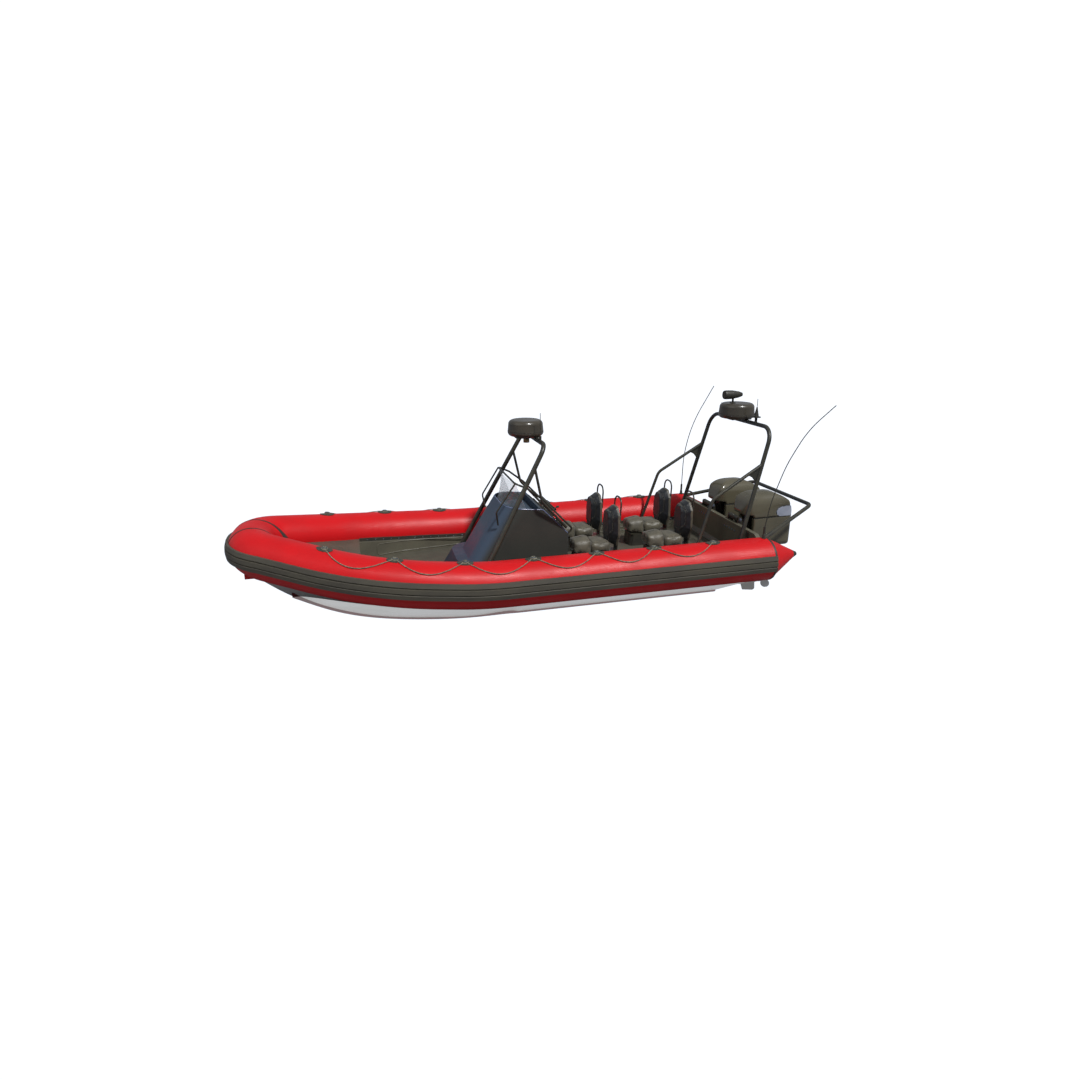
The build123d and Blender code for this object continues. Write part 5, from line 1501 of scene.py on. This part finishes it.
    def controls(self) -> None:
        """Add the twin engine levers on the dash, beside the wheel."""
        probe = Probe("dash_panel")
        place = self.on_dash(probe, 0.025, -0.03)
        if place is None:
            return
        base, knobs = Draft(), Draft()
        base.prism(rounded(0.085, 0.15, 0.018), 0.045, place, 0.010)
        for x, swing in ((-0.020, 0.34), (0.020, 0.20)):
            pivot = place @ Matrix.Translation((x, 0.0, 0.036)) @ Matrix.Rotation(-swing, 4, "X")
            base.tube([pivot @ Vector((0, 0, 0.0)), pivot @ Vector((0, 0, 0.07)), pivot @ Vector((x * 0.35, 0, 0.115))], 0.006, sides=12)
            knobs.lathe([(0.004, 0.100), (0.013, 0.106), (0.015, 0.120), (0.012, 0.134), (0.003, 0.138)],
                        pivot @ Matrix.Translation((x * 0.35, 0, 0)), 20)
        base.piece("engine_lever_box", Finishes.DIAL)
        knobs.piece("engine_lever_knobs", Finishes.TRIM)

    def helm_cap(self) -> None:
        """Add the wheel's centre cap."""
        low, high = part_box("helm_wheel")
        out = Vector((-1, 0, 1)).normalized()
        found = Probe("helm_wheel").hit(tuple((Vector((-0.4175, -0.2, 0.8775)) + out * 0.4)), tuple(-out))
        if found:
            cap = Draft()
            cap.lathe([(0.030, -0.002), (0.030, 0.004), (0.024, 0.008), (0.010, 0.0095), (0.002, 0.0095)],
                      placed(found[0], out, Vector((0, 1, 0))))
            cap.piece("helm_cap", Finishes.STEEL, "helm_wheel")
        log.info("helm wheel spans %s to %s", tuple(round(c, 3) for c in low), tuple(round(c, 3) for c in high))


@dataclass
class Radome(SubAssembly):
    """A drum radome's seam and screws.

    Args:
        node: The radome's node.
        seam: Height of its seam as a share of its height.
    """

    node: str
    seam: float = 0.30

    def build(self) -> None:
        """Finish the shell and add its seam ring and screws."""
        Finishes.RADOME.value.dress(self.node)
        low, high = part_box(self.node)
        centre = (low + high) / 2
        probe = Probe(self.node)
        seam_z = low.z + (high.z - low.z) * self.seam
        ring = []
        for k in range(48):
            t = 2 * math.pi * k / 48
            way = Vector((math.cos(t), math.sin(t), 0))
            found = probe.hit(tuple(Vector((centre.x, centre.y, seam_z)) + way * 0.6), tuple(-way))
            if found:
                ring.append(found[0] - way * 0.0008)
        draft = Draft()
        draft.tube(ring, 0.0028, sides=8, closed=True)
        draft.piece(f"{self.node}_seam", Finishes.PIPING)
        line = [(p + Vector((0, 0, -0.022)), (p - centre).normalized()) for p in ring[::2]]
        screws = []
        for p, way in line:
            flat = Vector((way.x, way.y, 0)).normalized()
            found = probe.hit(tuple(p + flat * 0.3), tuple(-flat))
            if found:
                screws.append((found[0], found[1]))
        if len(screws) > 2:
            Row(f"{self.node}_screws", Finishes.STEEL, [screws + screws[:1]], 0.18).build(dome(0.0055, 0.003))


@dataclass
class Frames(SubAssembly):
    """Mast, stern arch and guard: painted tubes with feet bolts, lamps and whip ferrules.

    Args:
        foot_bolts: Number of bolts round each foot.
    """

    foot_bolts: int = 4

    def build(self) -> None:
        """Finish the frames, then add bolts, lamp parts and whip ferrules."""
        Finishes.TUBE.value.dress("mast_arch", "stern_arch", "engine_guard")
        Finishes.TRIM.value.dress("mast_whip", "cone_antenna", "stub_antenna", "whip_antennas")
        Finishes.TRIM.value.dress("searchlight")
        Finishes.LAMP.value.dress("mast_lamp")
        self.searchlight()
        self.lamp()
        self.feet()
        self.whip_bases()

    def searchlight(self) -> None:
        """Add the searchlight's bezel and lens on its forward face."""
        low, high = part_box("searchlight")
        found = Probe("searchlight").hit((low.x + 1.2, 0.0, high.z - 0.062), (-1.0, 0.0, 0.0))
        if not found:
            return
        place = placed(found[0], Vector((1, 0, 0)), Vector((0, 1, 0)))
        bezel, lens = Draft(), Draft()
        bezel.lathe([(0.056, -0.006), (0.056, -0.001), (0.053, 0.0), (0.046, 0.0), (0.045, -0.003)], place)
        lens.lathe([(0.046, -0.004), (0.044, -0.0015), (0.024, -0.0006), (0.002, -0.0002)], place)
        bezel.piece("searchlight_bezel", Finishes.STEEL)
        lens.piece("searchlight_lens", Finishes.LENS)

    def lamp(self) -> None:
        """Add the cage bars and rings round the mast lamp."""
        low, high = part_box("mast_lamp")
        centre = (low + high) / 2
        draft = Draft()
        r = (high.x - low.x) / 2
        for k in range(6):
            t = 2 * math.pi * k / 6
            way = Vector((math.cos(t), math.sin(t), 0))
            draft.tube([centre + way * (r * 0.93) + Vector((0, 0, h)) for h in (-0.035, -0.012, 0.010)], 0.0028, sides=6)
        for h in (-0.030, 0.004):
            draft.tube([centre + Vector((r * 0.95 * math.cos(t), r * 0.95 * math.sin(t), h)) for t in (2 * math.pi * k / 24 for k in range(24))],
                       0.0026, sides=6, closed=True)
        draft.piece("mast_lamp_cage", Finishes.LAMP)

    def feet(self) -> None:
        """Add the bolts of the mast's feet."""
        probe = Probe("mast_arch")
        bolts = Draft()
        for _, sign in SIDES:
            for k in range(self.foot_bolts):
                t = math.pi / 4 + math.pi / 2 * k
                spot = Vector((0.677 + 0.043 * math.cos(t), sign * (0.786 + 0.043 * math.sin(t)), 0.26))
                found = probe.hit(tuple(spot), (0.0, 0.0, -1.0))
                if found and found[0].z < 0.225:
                    bolts.lathe([(0.008, -0.001), (0.008, 0.005), (0.006, 0.006)], placed(found[0], Vector((0, 0, 1))), 6)
        if len(bolts.bm.verts):
            bolts.piece("mast_foot_bolts", Finishes.STEEL)

    def whip_bases(self) -> None:
        """Add the ferrules at the feet of the long whips."""
        low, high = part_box("whip_antennas")
        draft = Draft()
        for sign in (1.0, -1.0):
            foot = Vector((-3.05, sign * 1.225, 0.662))
            draft.lathe([(0.030, 0.0), (0.030, 0.006), (0.021, 0.010), (0.019, 0.055), (0.014, 0.062)], placed(foot, Vector((0, 0, 1))), 20)
        draft.piece("whip_ferrules", Finishes.TRIM)
        log.info("whips reach %s", tuple(round(c, 3) for c in high))


@dataclass
class Seats(SubAssembly):
    """Four jockey seats: padded pieces, seams, stitches and frames.

    Args:
        stitch_spacing: Distance between stitches.
        edge: How far inside the cushion's edge its seam runs.
    """

    stitch_spacing: float = 0.013
    edge: float = 0.042

    def build(self) -> None:
        """Make the padded pieces, then their seams and stitches."""
        Finishes.TRIM.value.dress("seat_pods")
        Finishes.TUBE.value.dress("seat_frames")
        cushions = Padding("seat_cushions", "seat_cushion", Finishes.SEAT, shrink=0.002, swell=0.022, easing=6).build()
        bolsters = Padding("seat_bolsters", "seat_bolster", Finishes.SEAT, shrink=0.0, swell=0.026, easing=12).build()
        backs = Padding("seat_backs", "seat_back", Finishes.BACK, shrink=0.0, swell=0.008, easing=2,
                        narrowing=0.30, drop=0.11).build()
        self.cushion_seams(cushions)
        self.back_seams(backs)
        self.bolster_seams(bolsters)

    def top_loop(self, piece: bpy.types.Object, inset: float) -> list[tuple[Vector, Vector]]:
        """Return a closed line on top of a cushion, inside its edge.

        Args:
            piece: The cushion.
            inset: Distance inside the edge.
        """
        probe = MeshProbe(piece.data)
        low, high = probe.low, probe.high
        centre = (low + high) / 2
        outline = rounded(high.x - low.x - 2 * inset, high.y - low.y - 2 * inset, 0.045)
        loop = []
        for (x0, y0), (x1, y1) in zip(outline, outline[1:] + outline[:1]):
            parts = max(1, int(math.hypot(x1 - x0, y1 - y0) / 0.02))
            for k in range(parts):
                x, y = x0 + (x1 - x0) * k / parts, y0 + (y1 - y0) * k / parts
                found = probe.hit((centre.x + x, centre.y + y, high.z + 0.2), (0.0, 0.0, -1.0))
                if found:
                    loop.append(found)
        return loop

    def cushion_seams(self, cushions: Sequence[bpy.types.Object]) -> None:
        """Add the cushions' sewn edge: a pressed seam and a row of stitches on each side of it."""
        seams, lines = Draft(), []
        for piece in cushions:
            loop = self.top_loop(piece, self.edge)
            seams.tube([p - n * 0.0012 for p, n in loop], 0.0026, sides=6, closed=True)
            for inset in (self.edge - 0.008, self.edge + 0.008):
                line = self.top_loop(piece, inset)
                lines.append(line + line[:1])
        seams.piece("cushion_seams", Finishes.PIPING)
        Row("cushion_stitches", Finishes.THREAD, lines, self.stitch_spacing).build(stitch())

    def back_seams(self, backs: Sequence[bpy.types.Object]) -> None:
        """Add the piping round each back's front panel, with its stitches."""
        corners = [(-0.150, 0.036), (-0.085, -0.055), (0.085, -0.055), (0.150, 0.036), (0.142, 0.225), (0.076, 0.302), (0.0, 0.316),
                   (-0.076, 0.302), (-0.142, 0.225)]
        draft, lines = Draft(), []
        for piece in backs:
            probe = MeshProbe(piece.data)
            centre = (probe.low + probe.high) / 2
            loop = []
            for (y0, z0), (y1, z1) in zip(corners, corners[1:] + corners[:1]):
                for k in range(6):
                    y, z = y0 + (y1 - y0) * k / 6, z0 + (z1 - z0) * k / 6
                    found = probe.hit((probe.high.x + 0.3, centre.y + y, 0.655 + z), (-1.0, 0.0, 0.0))
                    if found:
                        loop.append(found)
            draft.tube([p + n * 0.0008 for p, n in loop], 0.0036, sides=8, closed=True)
            inner = [(probe.hit((probe.high.x + 0.3, centre.y + (p.y - centre.y) * 0.93, 0.785 + (p.z - 0.785) * 0.93), (-1.0, 0.0, 0.0))) for p, _ in loop]
            line = [hit for hit in inner if hit]
            lines.append(line + line[:1])
        draft.piece("back_piping", Finishes.PIPING)
        Row("back_stitches", Finishes.THREAD, lines, self.stitch_spacing).build(stitch())

    def bolster_seams(self, bolsters: Sequence[bpy.types.Object]) -> None:
        """Add the seam that runs over the middle of each bolster."""
        draft = Draft()
        for piece in bolsters:
            probe = MeshProbe(piece.data)
            centre = (probe.low + probe.high) / 2
            line = []
            for k in range(15):
                t = math.radians(-12 + 112 * k / 14)
                way = Vector((math.cos(t), 0, math.sin(t)))
                found = probe.hit(tuple(centre + way * 0.6), tuple(-way))
                if found:
                    line.append(found[0] + found[1] * 0.0004)
            draft.tube(line, 0.003, sides=6)
        draft.piece("bolster_seams", Finishes.PIPING)


class MeshProbe(Probe):
    """A probe of a finished piece's own mesh."""

    def __init__(self, mesh: bpy.types.Mesh) -> None:
        self.verts = [v.co.copy() for v in mesh.vertices]
        self.tree = BVHTree.FromPolygons(self.verts, [tuple(p.vertices) for p in mesh.polygons])
        self.low = Vector(min(v[i] for v in self.verts) for i in range(3))
        self.high = Vector(max(v[i] for v in self.verts) for i in range(3))


def stitch() -> Draft:
    """Draft one stitch: a short thread with sunk ends."""
    item = Draft()
    item.tube([Vector((-0.0042, 0, -0.0012)), Vector((-0.0026, 0, 0.0006)), Vector((0.0026, 0, 0.0006)), Vector((0.0042, 0, -0.0012))],
              0.0010, sides=5)
    return item


@dataclass
class Outboard(SubAssembly):
    """One outboard engine.

    Args:
        side: Name of the boat's side.
        sign: Sign of Y on that side.
        seam_z: Height of the cowl's lower edge.
    """

    side: str
    sign: float
    seam_z: float = 0.731

    def build(self) -> None:
        """Finish the engine's nodes and add its seams, louvres, anode and bolts."""
        for node, passes in ((f"cowl_{self.side}", 30), (f"apron_{self.side}", 12)):
            eased_shell(node, Finishes.COWL, f"engine_{self.side}", 0.009, passes)
        Finishes.PATCH.value.dress(f"cowl_panel_{self.side}")
        Finishes.ENGINE.value.dress(f"leg_{self.side}", f"clamp_bracket_{self.side}", f"swivel_bracket_{self.side}")
        Finishes.STEEL.value.dress(f"propeller_{self.side}")
        self.gasket()
        self.louvres()
        self.anode()
        self.clamp_bolts()

    def gasket(self) -> None:
        """Add the dark gasket between cowl and apron."""
        probe = Probe(f"cowl_{self.side}")
        centre = Vector((-3.53, self.sign * ENGINE_Y, self.seam_z + 0.004))
        ring = []
        for k in range(72):
            t = 2 * math.pi * k / 72
            way = Vector((math.cos(t), math.sin(t), 0))
            found = probe.hit(tuple(centre + way * 1.0), tuple(-way))
            if found:
                ring.append(found[0] - way * 0.001 - Vector((0, 0, 0.003)))
        draft = Draft()
        draft.tube(ring, 0.0042, sides=8, closed=True)
        draft.piece(f"cowl_gasket_{self.side}", Finishes.PIPING, f"engine_{self.side}")

    def louvres(self) -> None:
        """Add the air louvres at the back of the cowl."""
        probe = Probe(f"cowl_{self.side}")
        lines = []
        for side_way in (1.0, -1.0):
            line = []
            for k in range(9):
                found = probe.hit((-3.72, self.sign * ENGINE_Y + side_way * 0.6, 0.79 + 0.016 * k), (0.0, -side_way, 0.0))
                if found:
                    line.append(found)
            if len(line) > 2:
                lines.append(line)
        item = Draft()
        item.block((0.006, 0.080, 0.008), Matrix.Rotation(0.35, 4, "Y"), 0.002)
        if lines:
            Row(f"cowl_louvres_{self.side}", Finishes.COWL, lines, 0.018, f"engine_{self.side}").build(item)

    def anode(self) -> None:
        """Add the anode and its two screws on the side of the leg."""
        probe = Probe(f"leg_{self.side}")
        found = probe.hit((-3.52, self.sign * ENGINE_Y, -0.60), (0.0, 0.0, 1.0))
        side_hit = probe.hit((-3.36, self.sign * (ENGINE_Y + 0.5), -0.20), (0.0, -self.sign, 0.0))
        draft = Draft()
        if side_hit:
            place = placed(side_hit[0], side_hit[1], Vector((1, 0, 0)))
            draft.prism(rounded(0.12, 0.05, 0.012), 0.010, place @ Matrix.Translation((0, 0, -0.002)), 0.003)
            for x in (-0.038, 0.038):
                draft.lathe([(0.009, 0.007), (0.009, 0.011), (0.006, 0.012)], place @ Matrix.Translation((x, 0, 0)), 12)
            draft.piece(f"leg_anode_{self.side}", Finishes.ANODE, f"engine_{self.side}")
        log.info("leg of the %s engine probed at %s", self.side, found[0] if found else None)

    def clamp_bolts(self) -> None:
        """Add the tilt tube's nuts and the bracket's bolts."""
        probe = Probe(f"clamp_bracket_{self.side}")
        draft = Draft()
        for way in (1.0, -1.0):
            spot = (-3.10, self.sign * ENGINE_Y + way * 0.4, 0.715)
            found = probe.hit(spot, (0.0, -way, 0.0))
            if found:
                draft.lathe([(0.024, -0.002), (0.024, 0.003), (0.019, 0.003), (0.019, 0.014), (0.016, 0.016)], placed(found[0], Vector((0, way, 0))), 6)
            for z in (0.36, 0.62):
                hit = probe.hit((-3.10, self.sign * ENGINE_Y + way * 0.4, z), (0.0, -way, 0.0))
                if hit:
                    draft.lathe([(0.011, -0.001), (0.011, 0.008), (0.009, 0.009)], placed(hit[0], Vector((0, way, 0))), 6)
        if len(draft.bm.verts):
            draft.piece(f"clamp_nuts_{self.side}", Finishes.STEEL)


def eased_shell(node: str, finish: Finishes, body: str, voxel: float, passes: int) -> bpy.types.Object:
    """Replace a moulded shell's node by a copy with softly rounded edges.

    Args:
        node: The CAD node.
        finish: Finish of the shell.
        body: The body that it rides on.
        voxel: Voxel size of the remesh.
        passes: Smoothing passes, which set how round the edges get.

    Returns:
        The shell.
    """
    island = split_islands(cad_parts[node].data)[0]
    mesh = bpy.data.meshes.new(node + "_shell")
    island.to_mesh(mesh)
    holder = bpy.data.objects.new(node + "_holder", mesh)
    bpy.context.scene.collection.objects.link(holder)
    remesh = holder.modifiers.new("remesh", "REMESH")
    remesh.mode, remesh.voxel_size = "VOXEL", voxel
    smooth = holder.modifiers.new("smooth", "SMOOTH")
    smooth.factor, smooth.iterations = 0.5, passes
    bpy.context.view_layer.update()
    done = bpy.data.meshes.new_from_object(holder.evaluated_get(bpy.context.evaluated_depsgraph_get()))
    bpy.data.objects.remove(holder)
    return enlist(done, node + "_shell", finish, body, [node], 60.0)


# The stage

@dataclass
class Stage:
    """Floor at the waterline, soft studio light, and the camera.

    Args:
        lens: Focal length on a sensor 36 wide.
        eye: Where the camera stands.
        look: Direction of its view.
    """

    lens: float = 23.333
    eye: Point = (2.062, 8.923, 3.499)
    look: Point = (-0.2464, -0.9181, -0.3106)

    def build(self) -> None:
        """Set camera, floor and lights."""
        scene = bpy.context.scene
        scene.view_settings.view_transform = "Standard"
        lens = bpy.data.cameras.new("camera")
        lens.lens, lens.sensor_width, lens.sensor_fit = self.lens, 36, "HORIZONTAL"
        lens.clip_end = 200
        camera = bpy.data.objects.new("camera", lens)
        camera.rotation_mode = "QUATERNION"
        camera.rotation_quaternion = Vector(self.look).to_track_quat("-Z", "Y")
        camera.location = self.eye
        scene.collection.objects.link(camera)
        scene.camera = camera
        self.floor()
        self.light()

    def floor(self) -> None:
        """Make the pale floor, which lets part of the underwater hull show."""
        mesh = bpy.data.meshes.new("floor")
        reach = 60.0
        mesh.from_pydata([(-reach, -reach, 0), (reach, -reach, 0), (reach, reach, 0), (-reach, reach, 0)], [], [(0, 1, 2, 3)])
        floor = bpy.data.objects.new("floor", mesh)
        bpy.context.scene.collection.objects.link(floor)
        made = bpy.data.materials.new("FloorPale")
        made.use_nodes = True
        tree = made.node_tree
        graph = Graph(tree)
        surface = tree.nodes["Principled BSDF"]
        surface.inputs["Roughness"].default_value = 0.9
        surface.inputs["Specular IOR Level"].default_value = 0.0
        clear = graph.node("ShaderNodeBsdfTransparent")
        ray = graph.node("ShaderNodeLightPath")
        pale = graph.node("ShaderNodeMix", {"data_type": "RGBA"}, Factor=ray.outputs["Is Camera Ray"], i6=tone(120, 122, 126), i7=tone(252, 252, 252))
        tree.links.new(pale.outputs[2], surface.inputs["Base Color"])
        bright = graph.node("ShaderNodeEmission", Color=tone(255, 255, 255), Strength=1.0)
        lit = graph.node("ShaderNodeMath", {"operation": "MULTIPLY"}, i0=ray.outputs["Is Camera Ray"], i1=0.82)
        shade = graph.node("ShaderNodeMixShader", i0=lit.outputs[0], i1=surface.outputs[0], i2=bright.outputs[0])
        share = graph.node("ShaderNodeMath", {"operation": "MULTIPLY"}, i0=ray.outputs["Is Camera Ray"], i1=0.85)
        mix = graph.node("ShaderNodeMixShader", i0=share.outputs[0], i1=shade.outputs[0], i2=clear.outputs[0])
        tree.links.new(mix.outputs[0], tree.nodes["Material Output"].inputs["Surface"])
        mesh.materials.append(made)

    def light(self) -> None:
        """Set the pale surroundings and the lamps."""
        world = bpy.data.worlds.new("studio")
        bpy.context.scene.world = world
        world.use_nodes = True
        graph = Graph(world.node_tree)
        back = world.node_tree.nodes["Background"]
        back.inputs[0].default_value = tone(236, 241, 250)
        ray = graph.node("ShaderNodeLightPath")
        power = graph.node("ShaderNodeMapRange", Value=ray.outputs["Is Camera Ray"], To_Min=0.30, To_Max=1.25)
        world.node_tree.links.new(power.outputs[0], back.inputs[1])
        for name, power, angle, way in (("key", 2.8, 5, (0.22, -0.52, -0.82)), ("upwell", 1.4, 40, (0.0, -0.35, 0.94)), ("fill", 0.25, 50, (-0.75, -0.25, -0.60))):
            sun = bpy.data.lights.new(name, "SUN")
            sun.energy, sun.angle = power, math.radians(angle)
            lamp = bpy.data.objects.new(name, sun)
            lamp.rotation_mode = "QUATERNION"
            lamp.rotation_quaternion = Vector(way).to_track_quat("-Z", "Y")
            bpy.context.scene.collection.objects.link(lamp)


def main() -> None:
    """Dress the boat, set the stage and note the model's size."""
    logging.basicConfig(level=logging.INFO, format="%(name)s: %(message)s")
    stage = Stage()
    stage.build()
    groups: list[SubAssembly] = [GrabLines(), Collar(), Decks(), Console(), Radome("mast_radome"), Radome("stern_radome"), Frames(),
                                 Seats(), *[Outboard(side, sign) for side, sign in SIDES]]
    for group in groups:
        log.info("building %s", type(group).__name__)
        group.build()


if __name__ == "__main__":
    main()
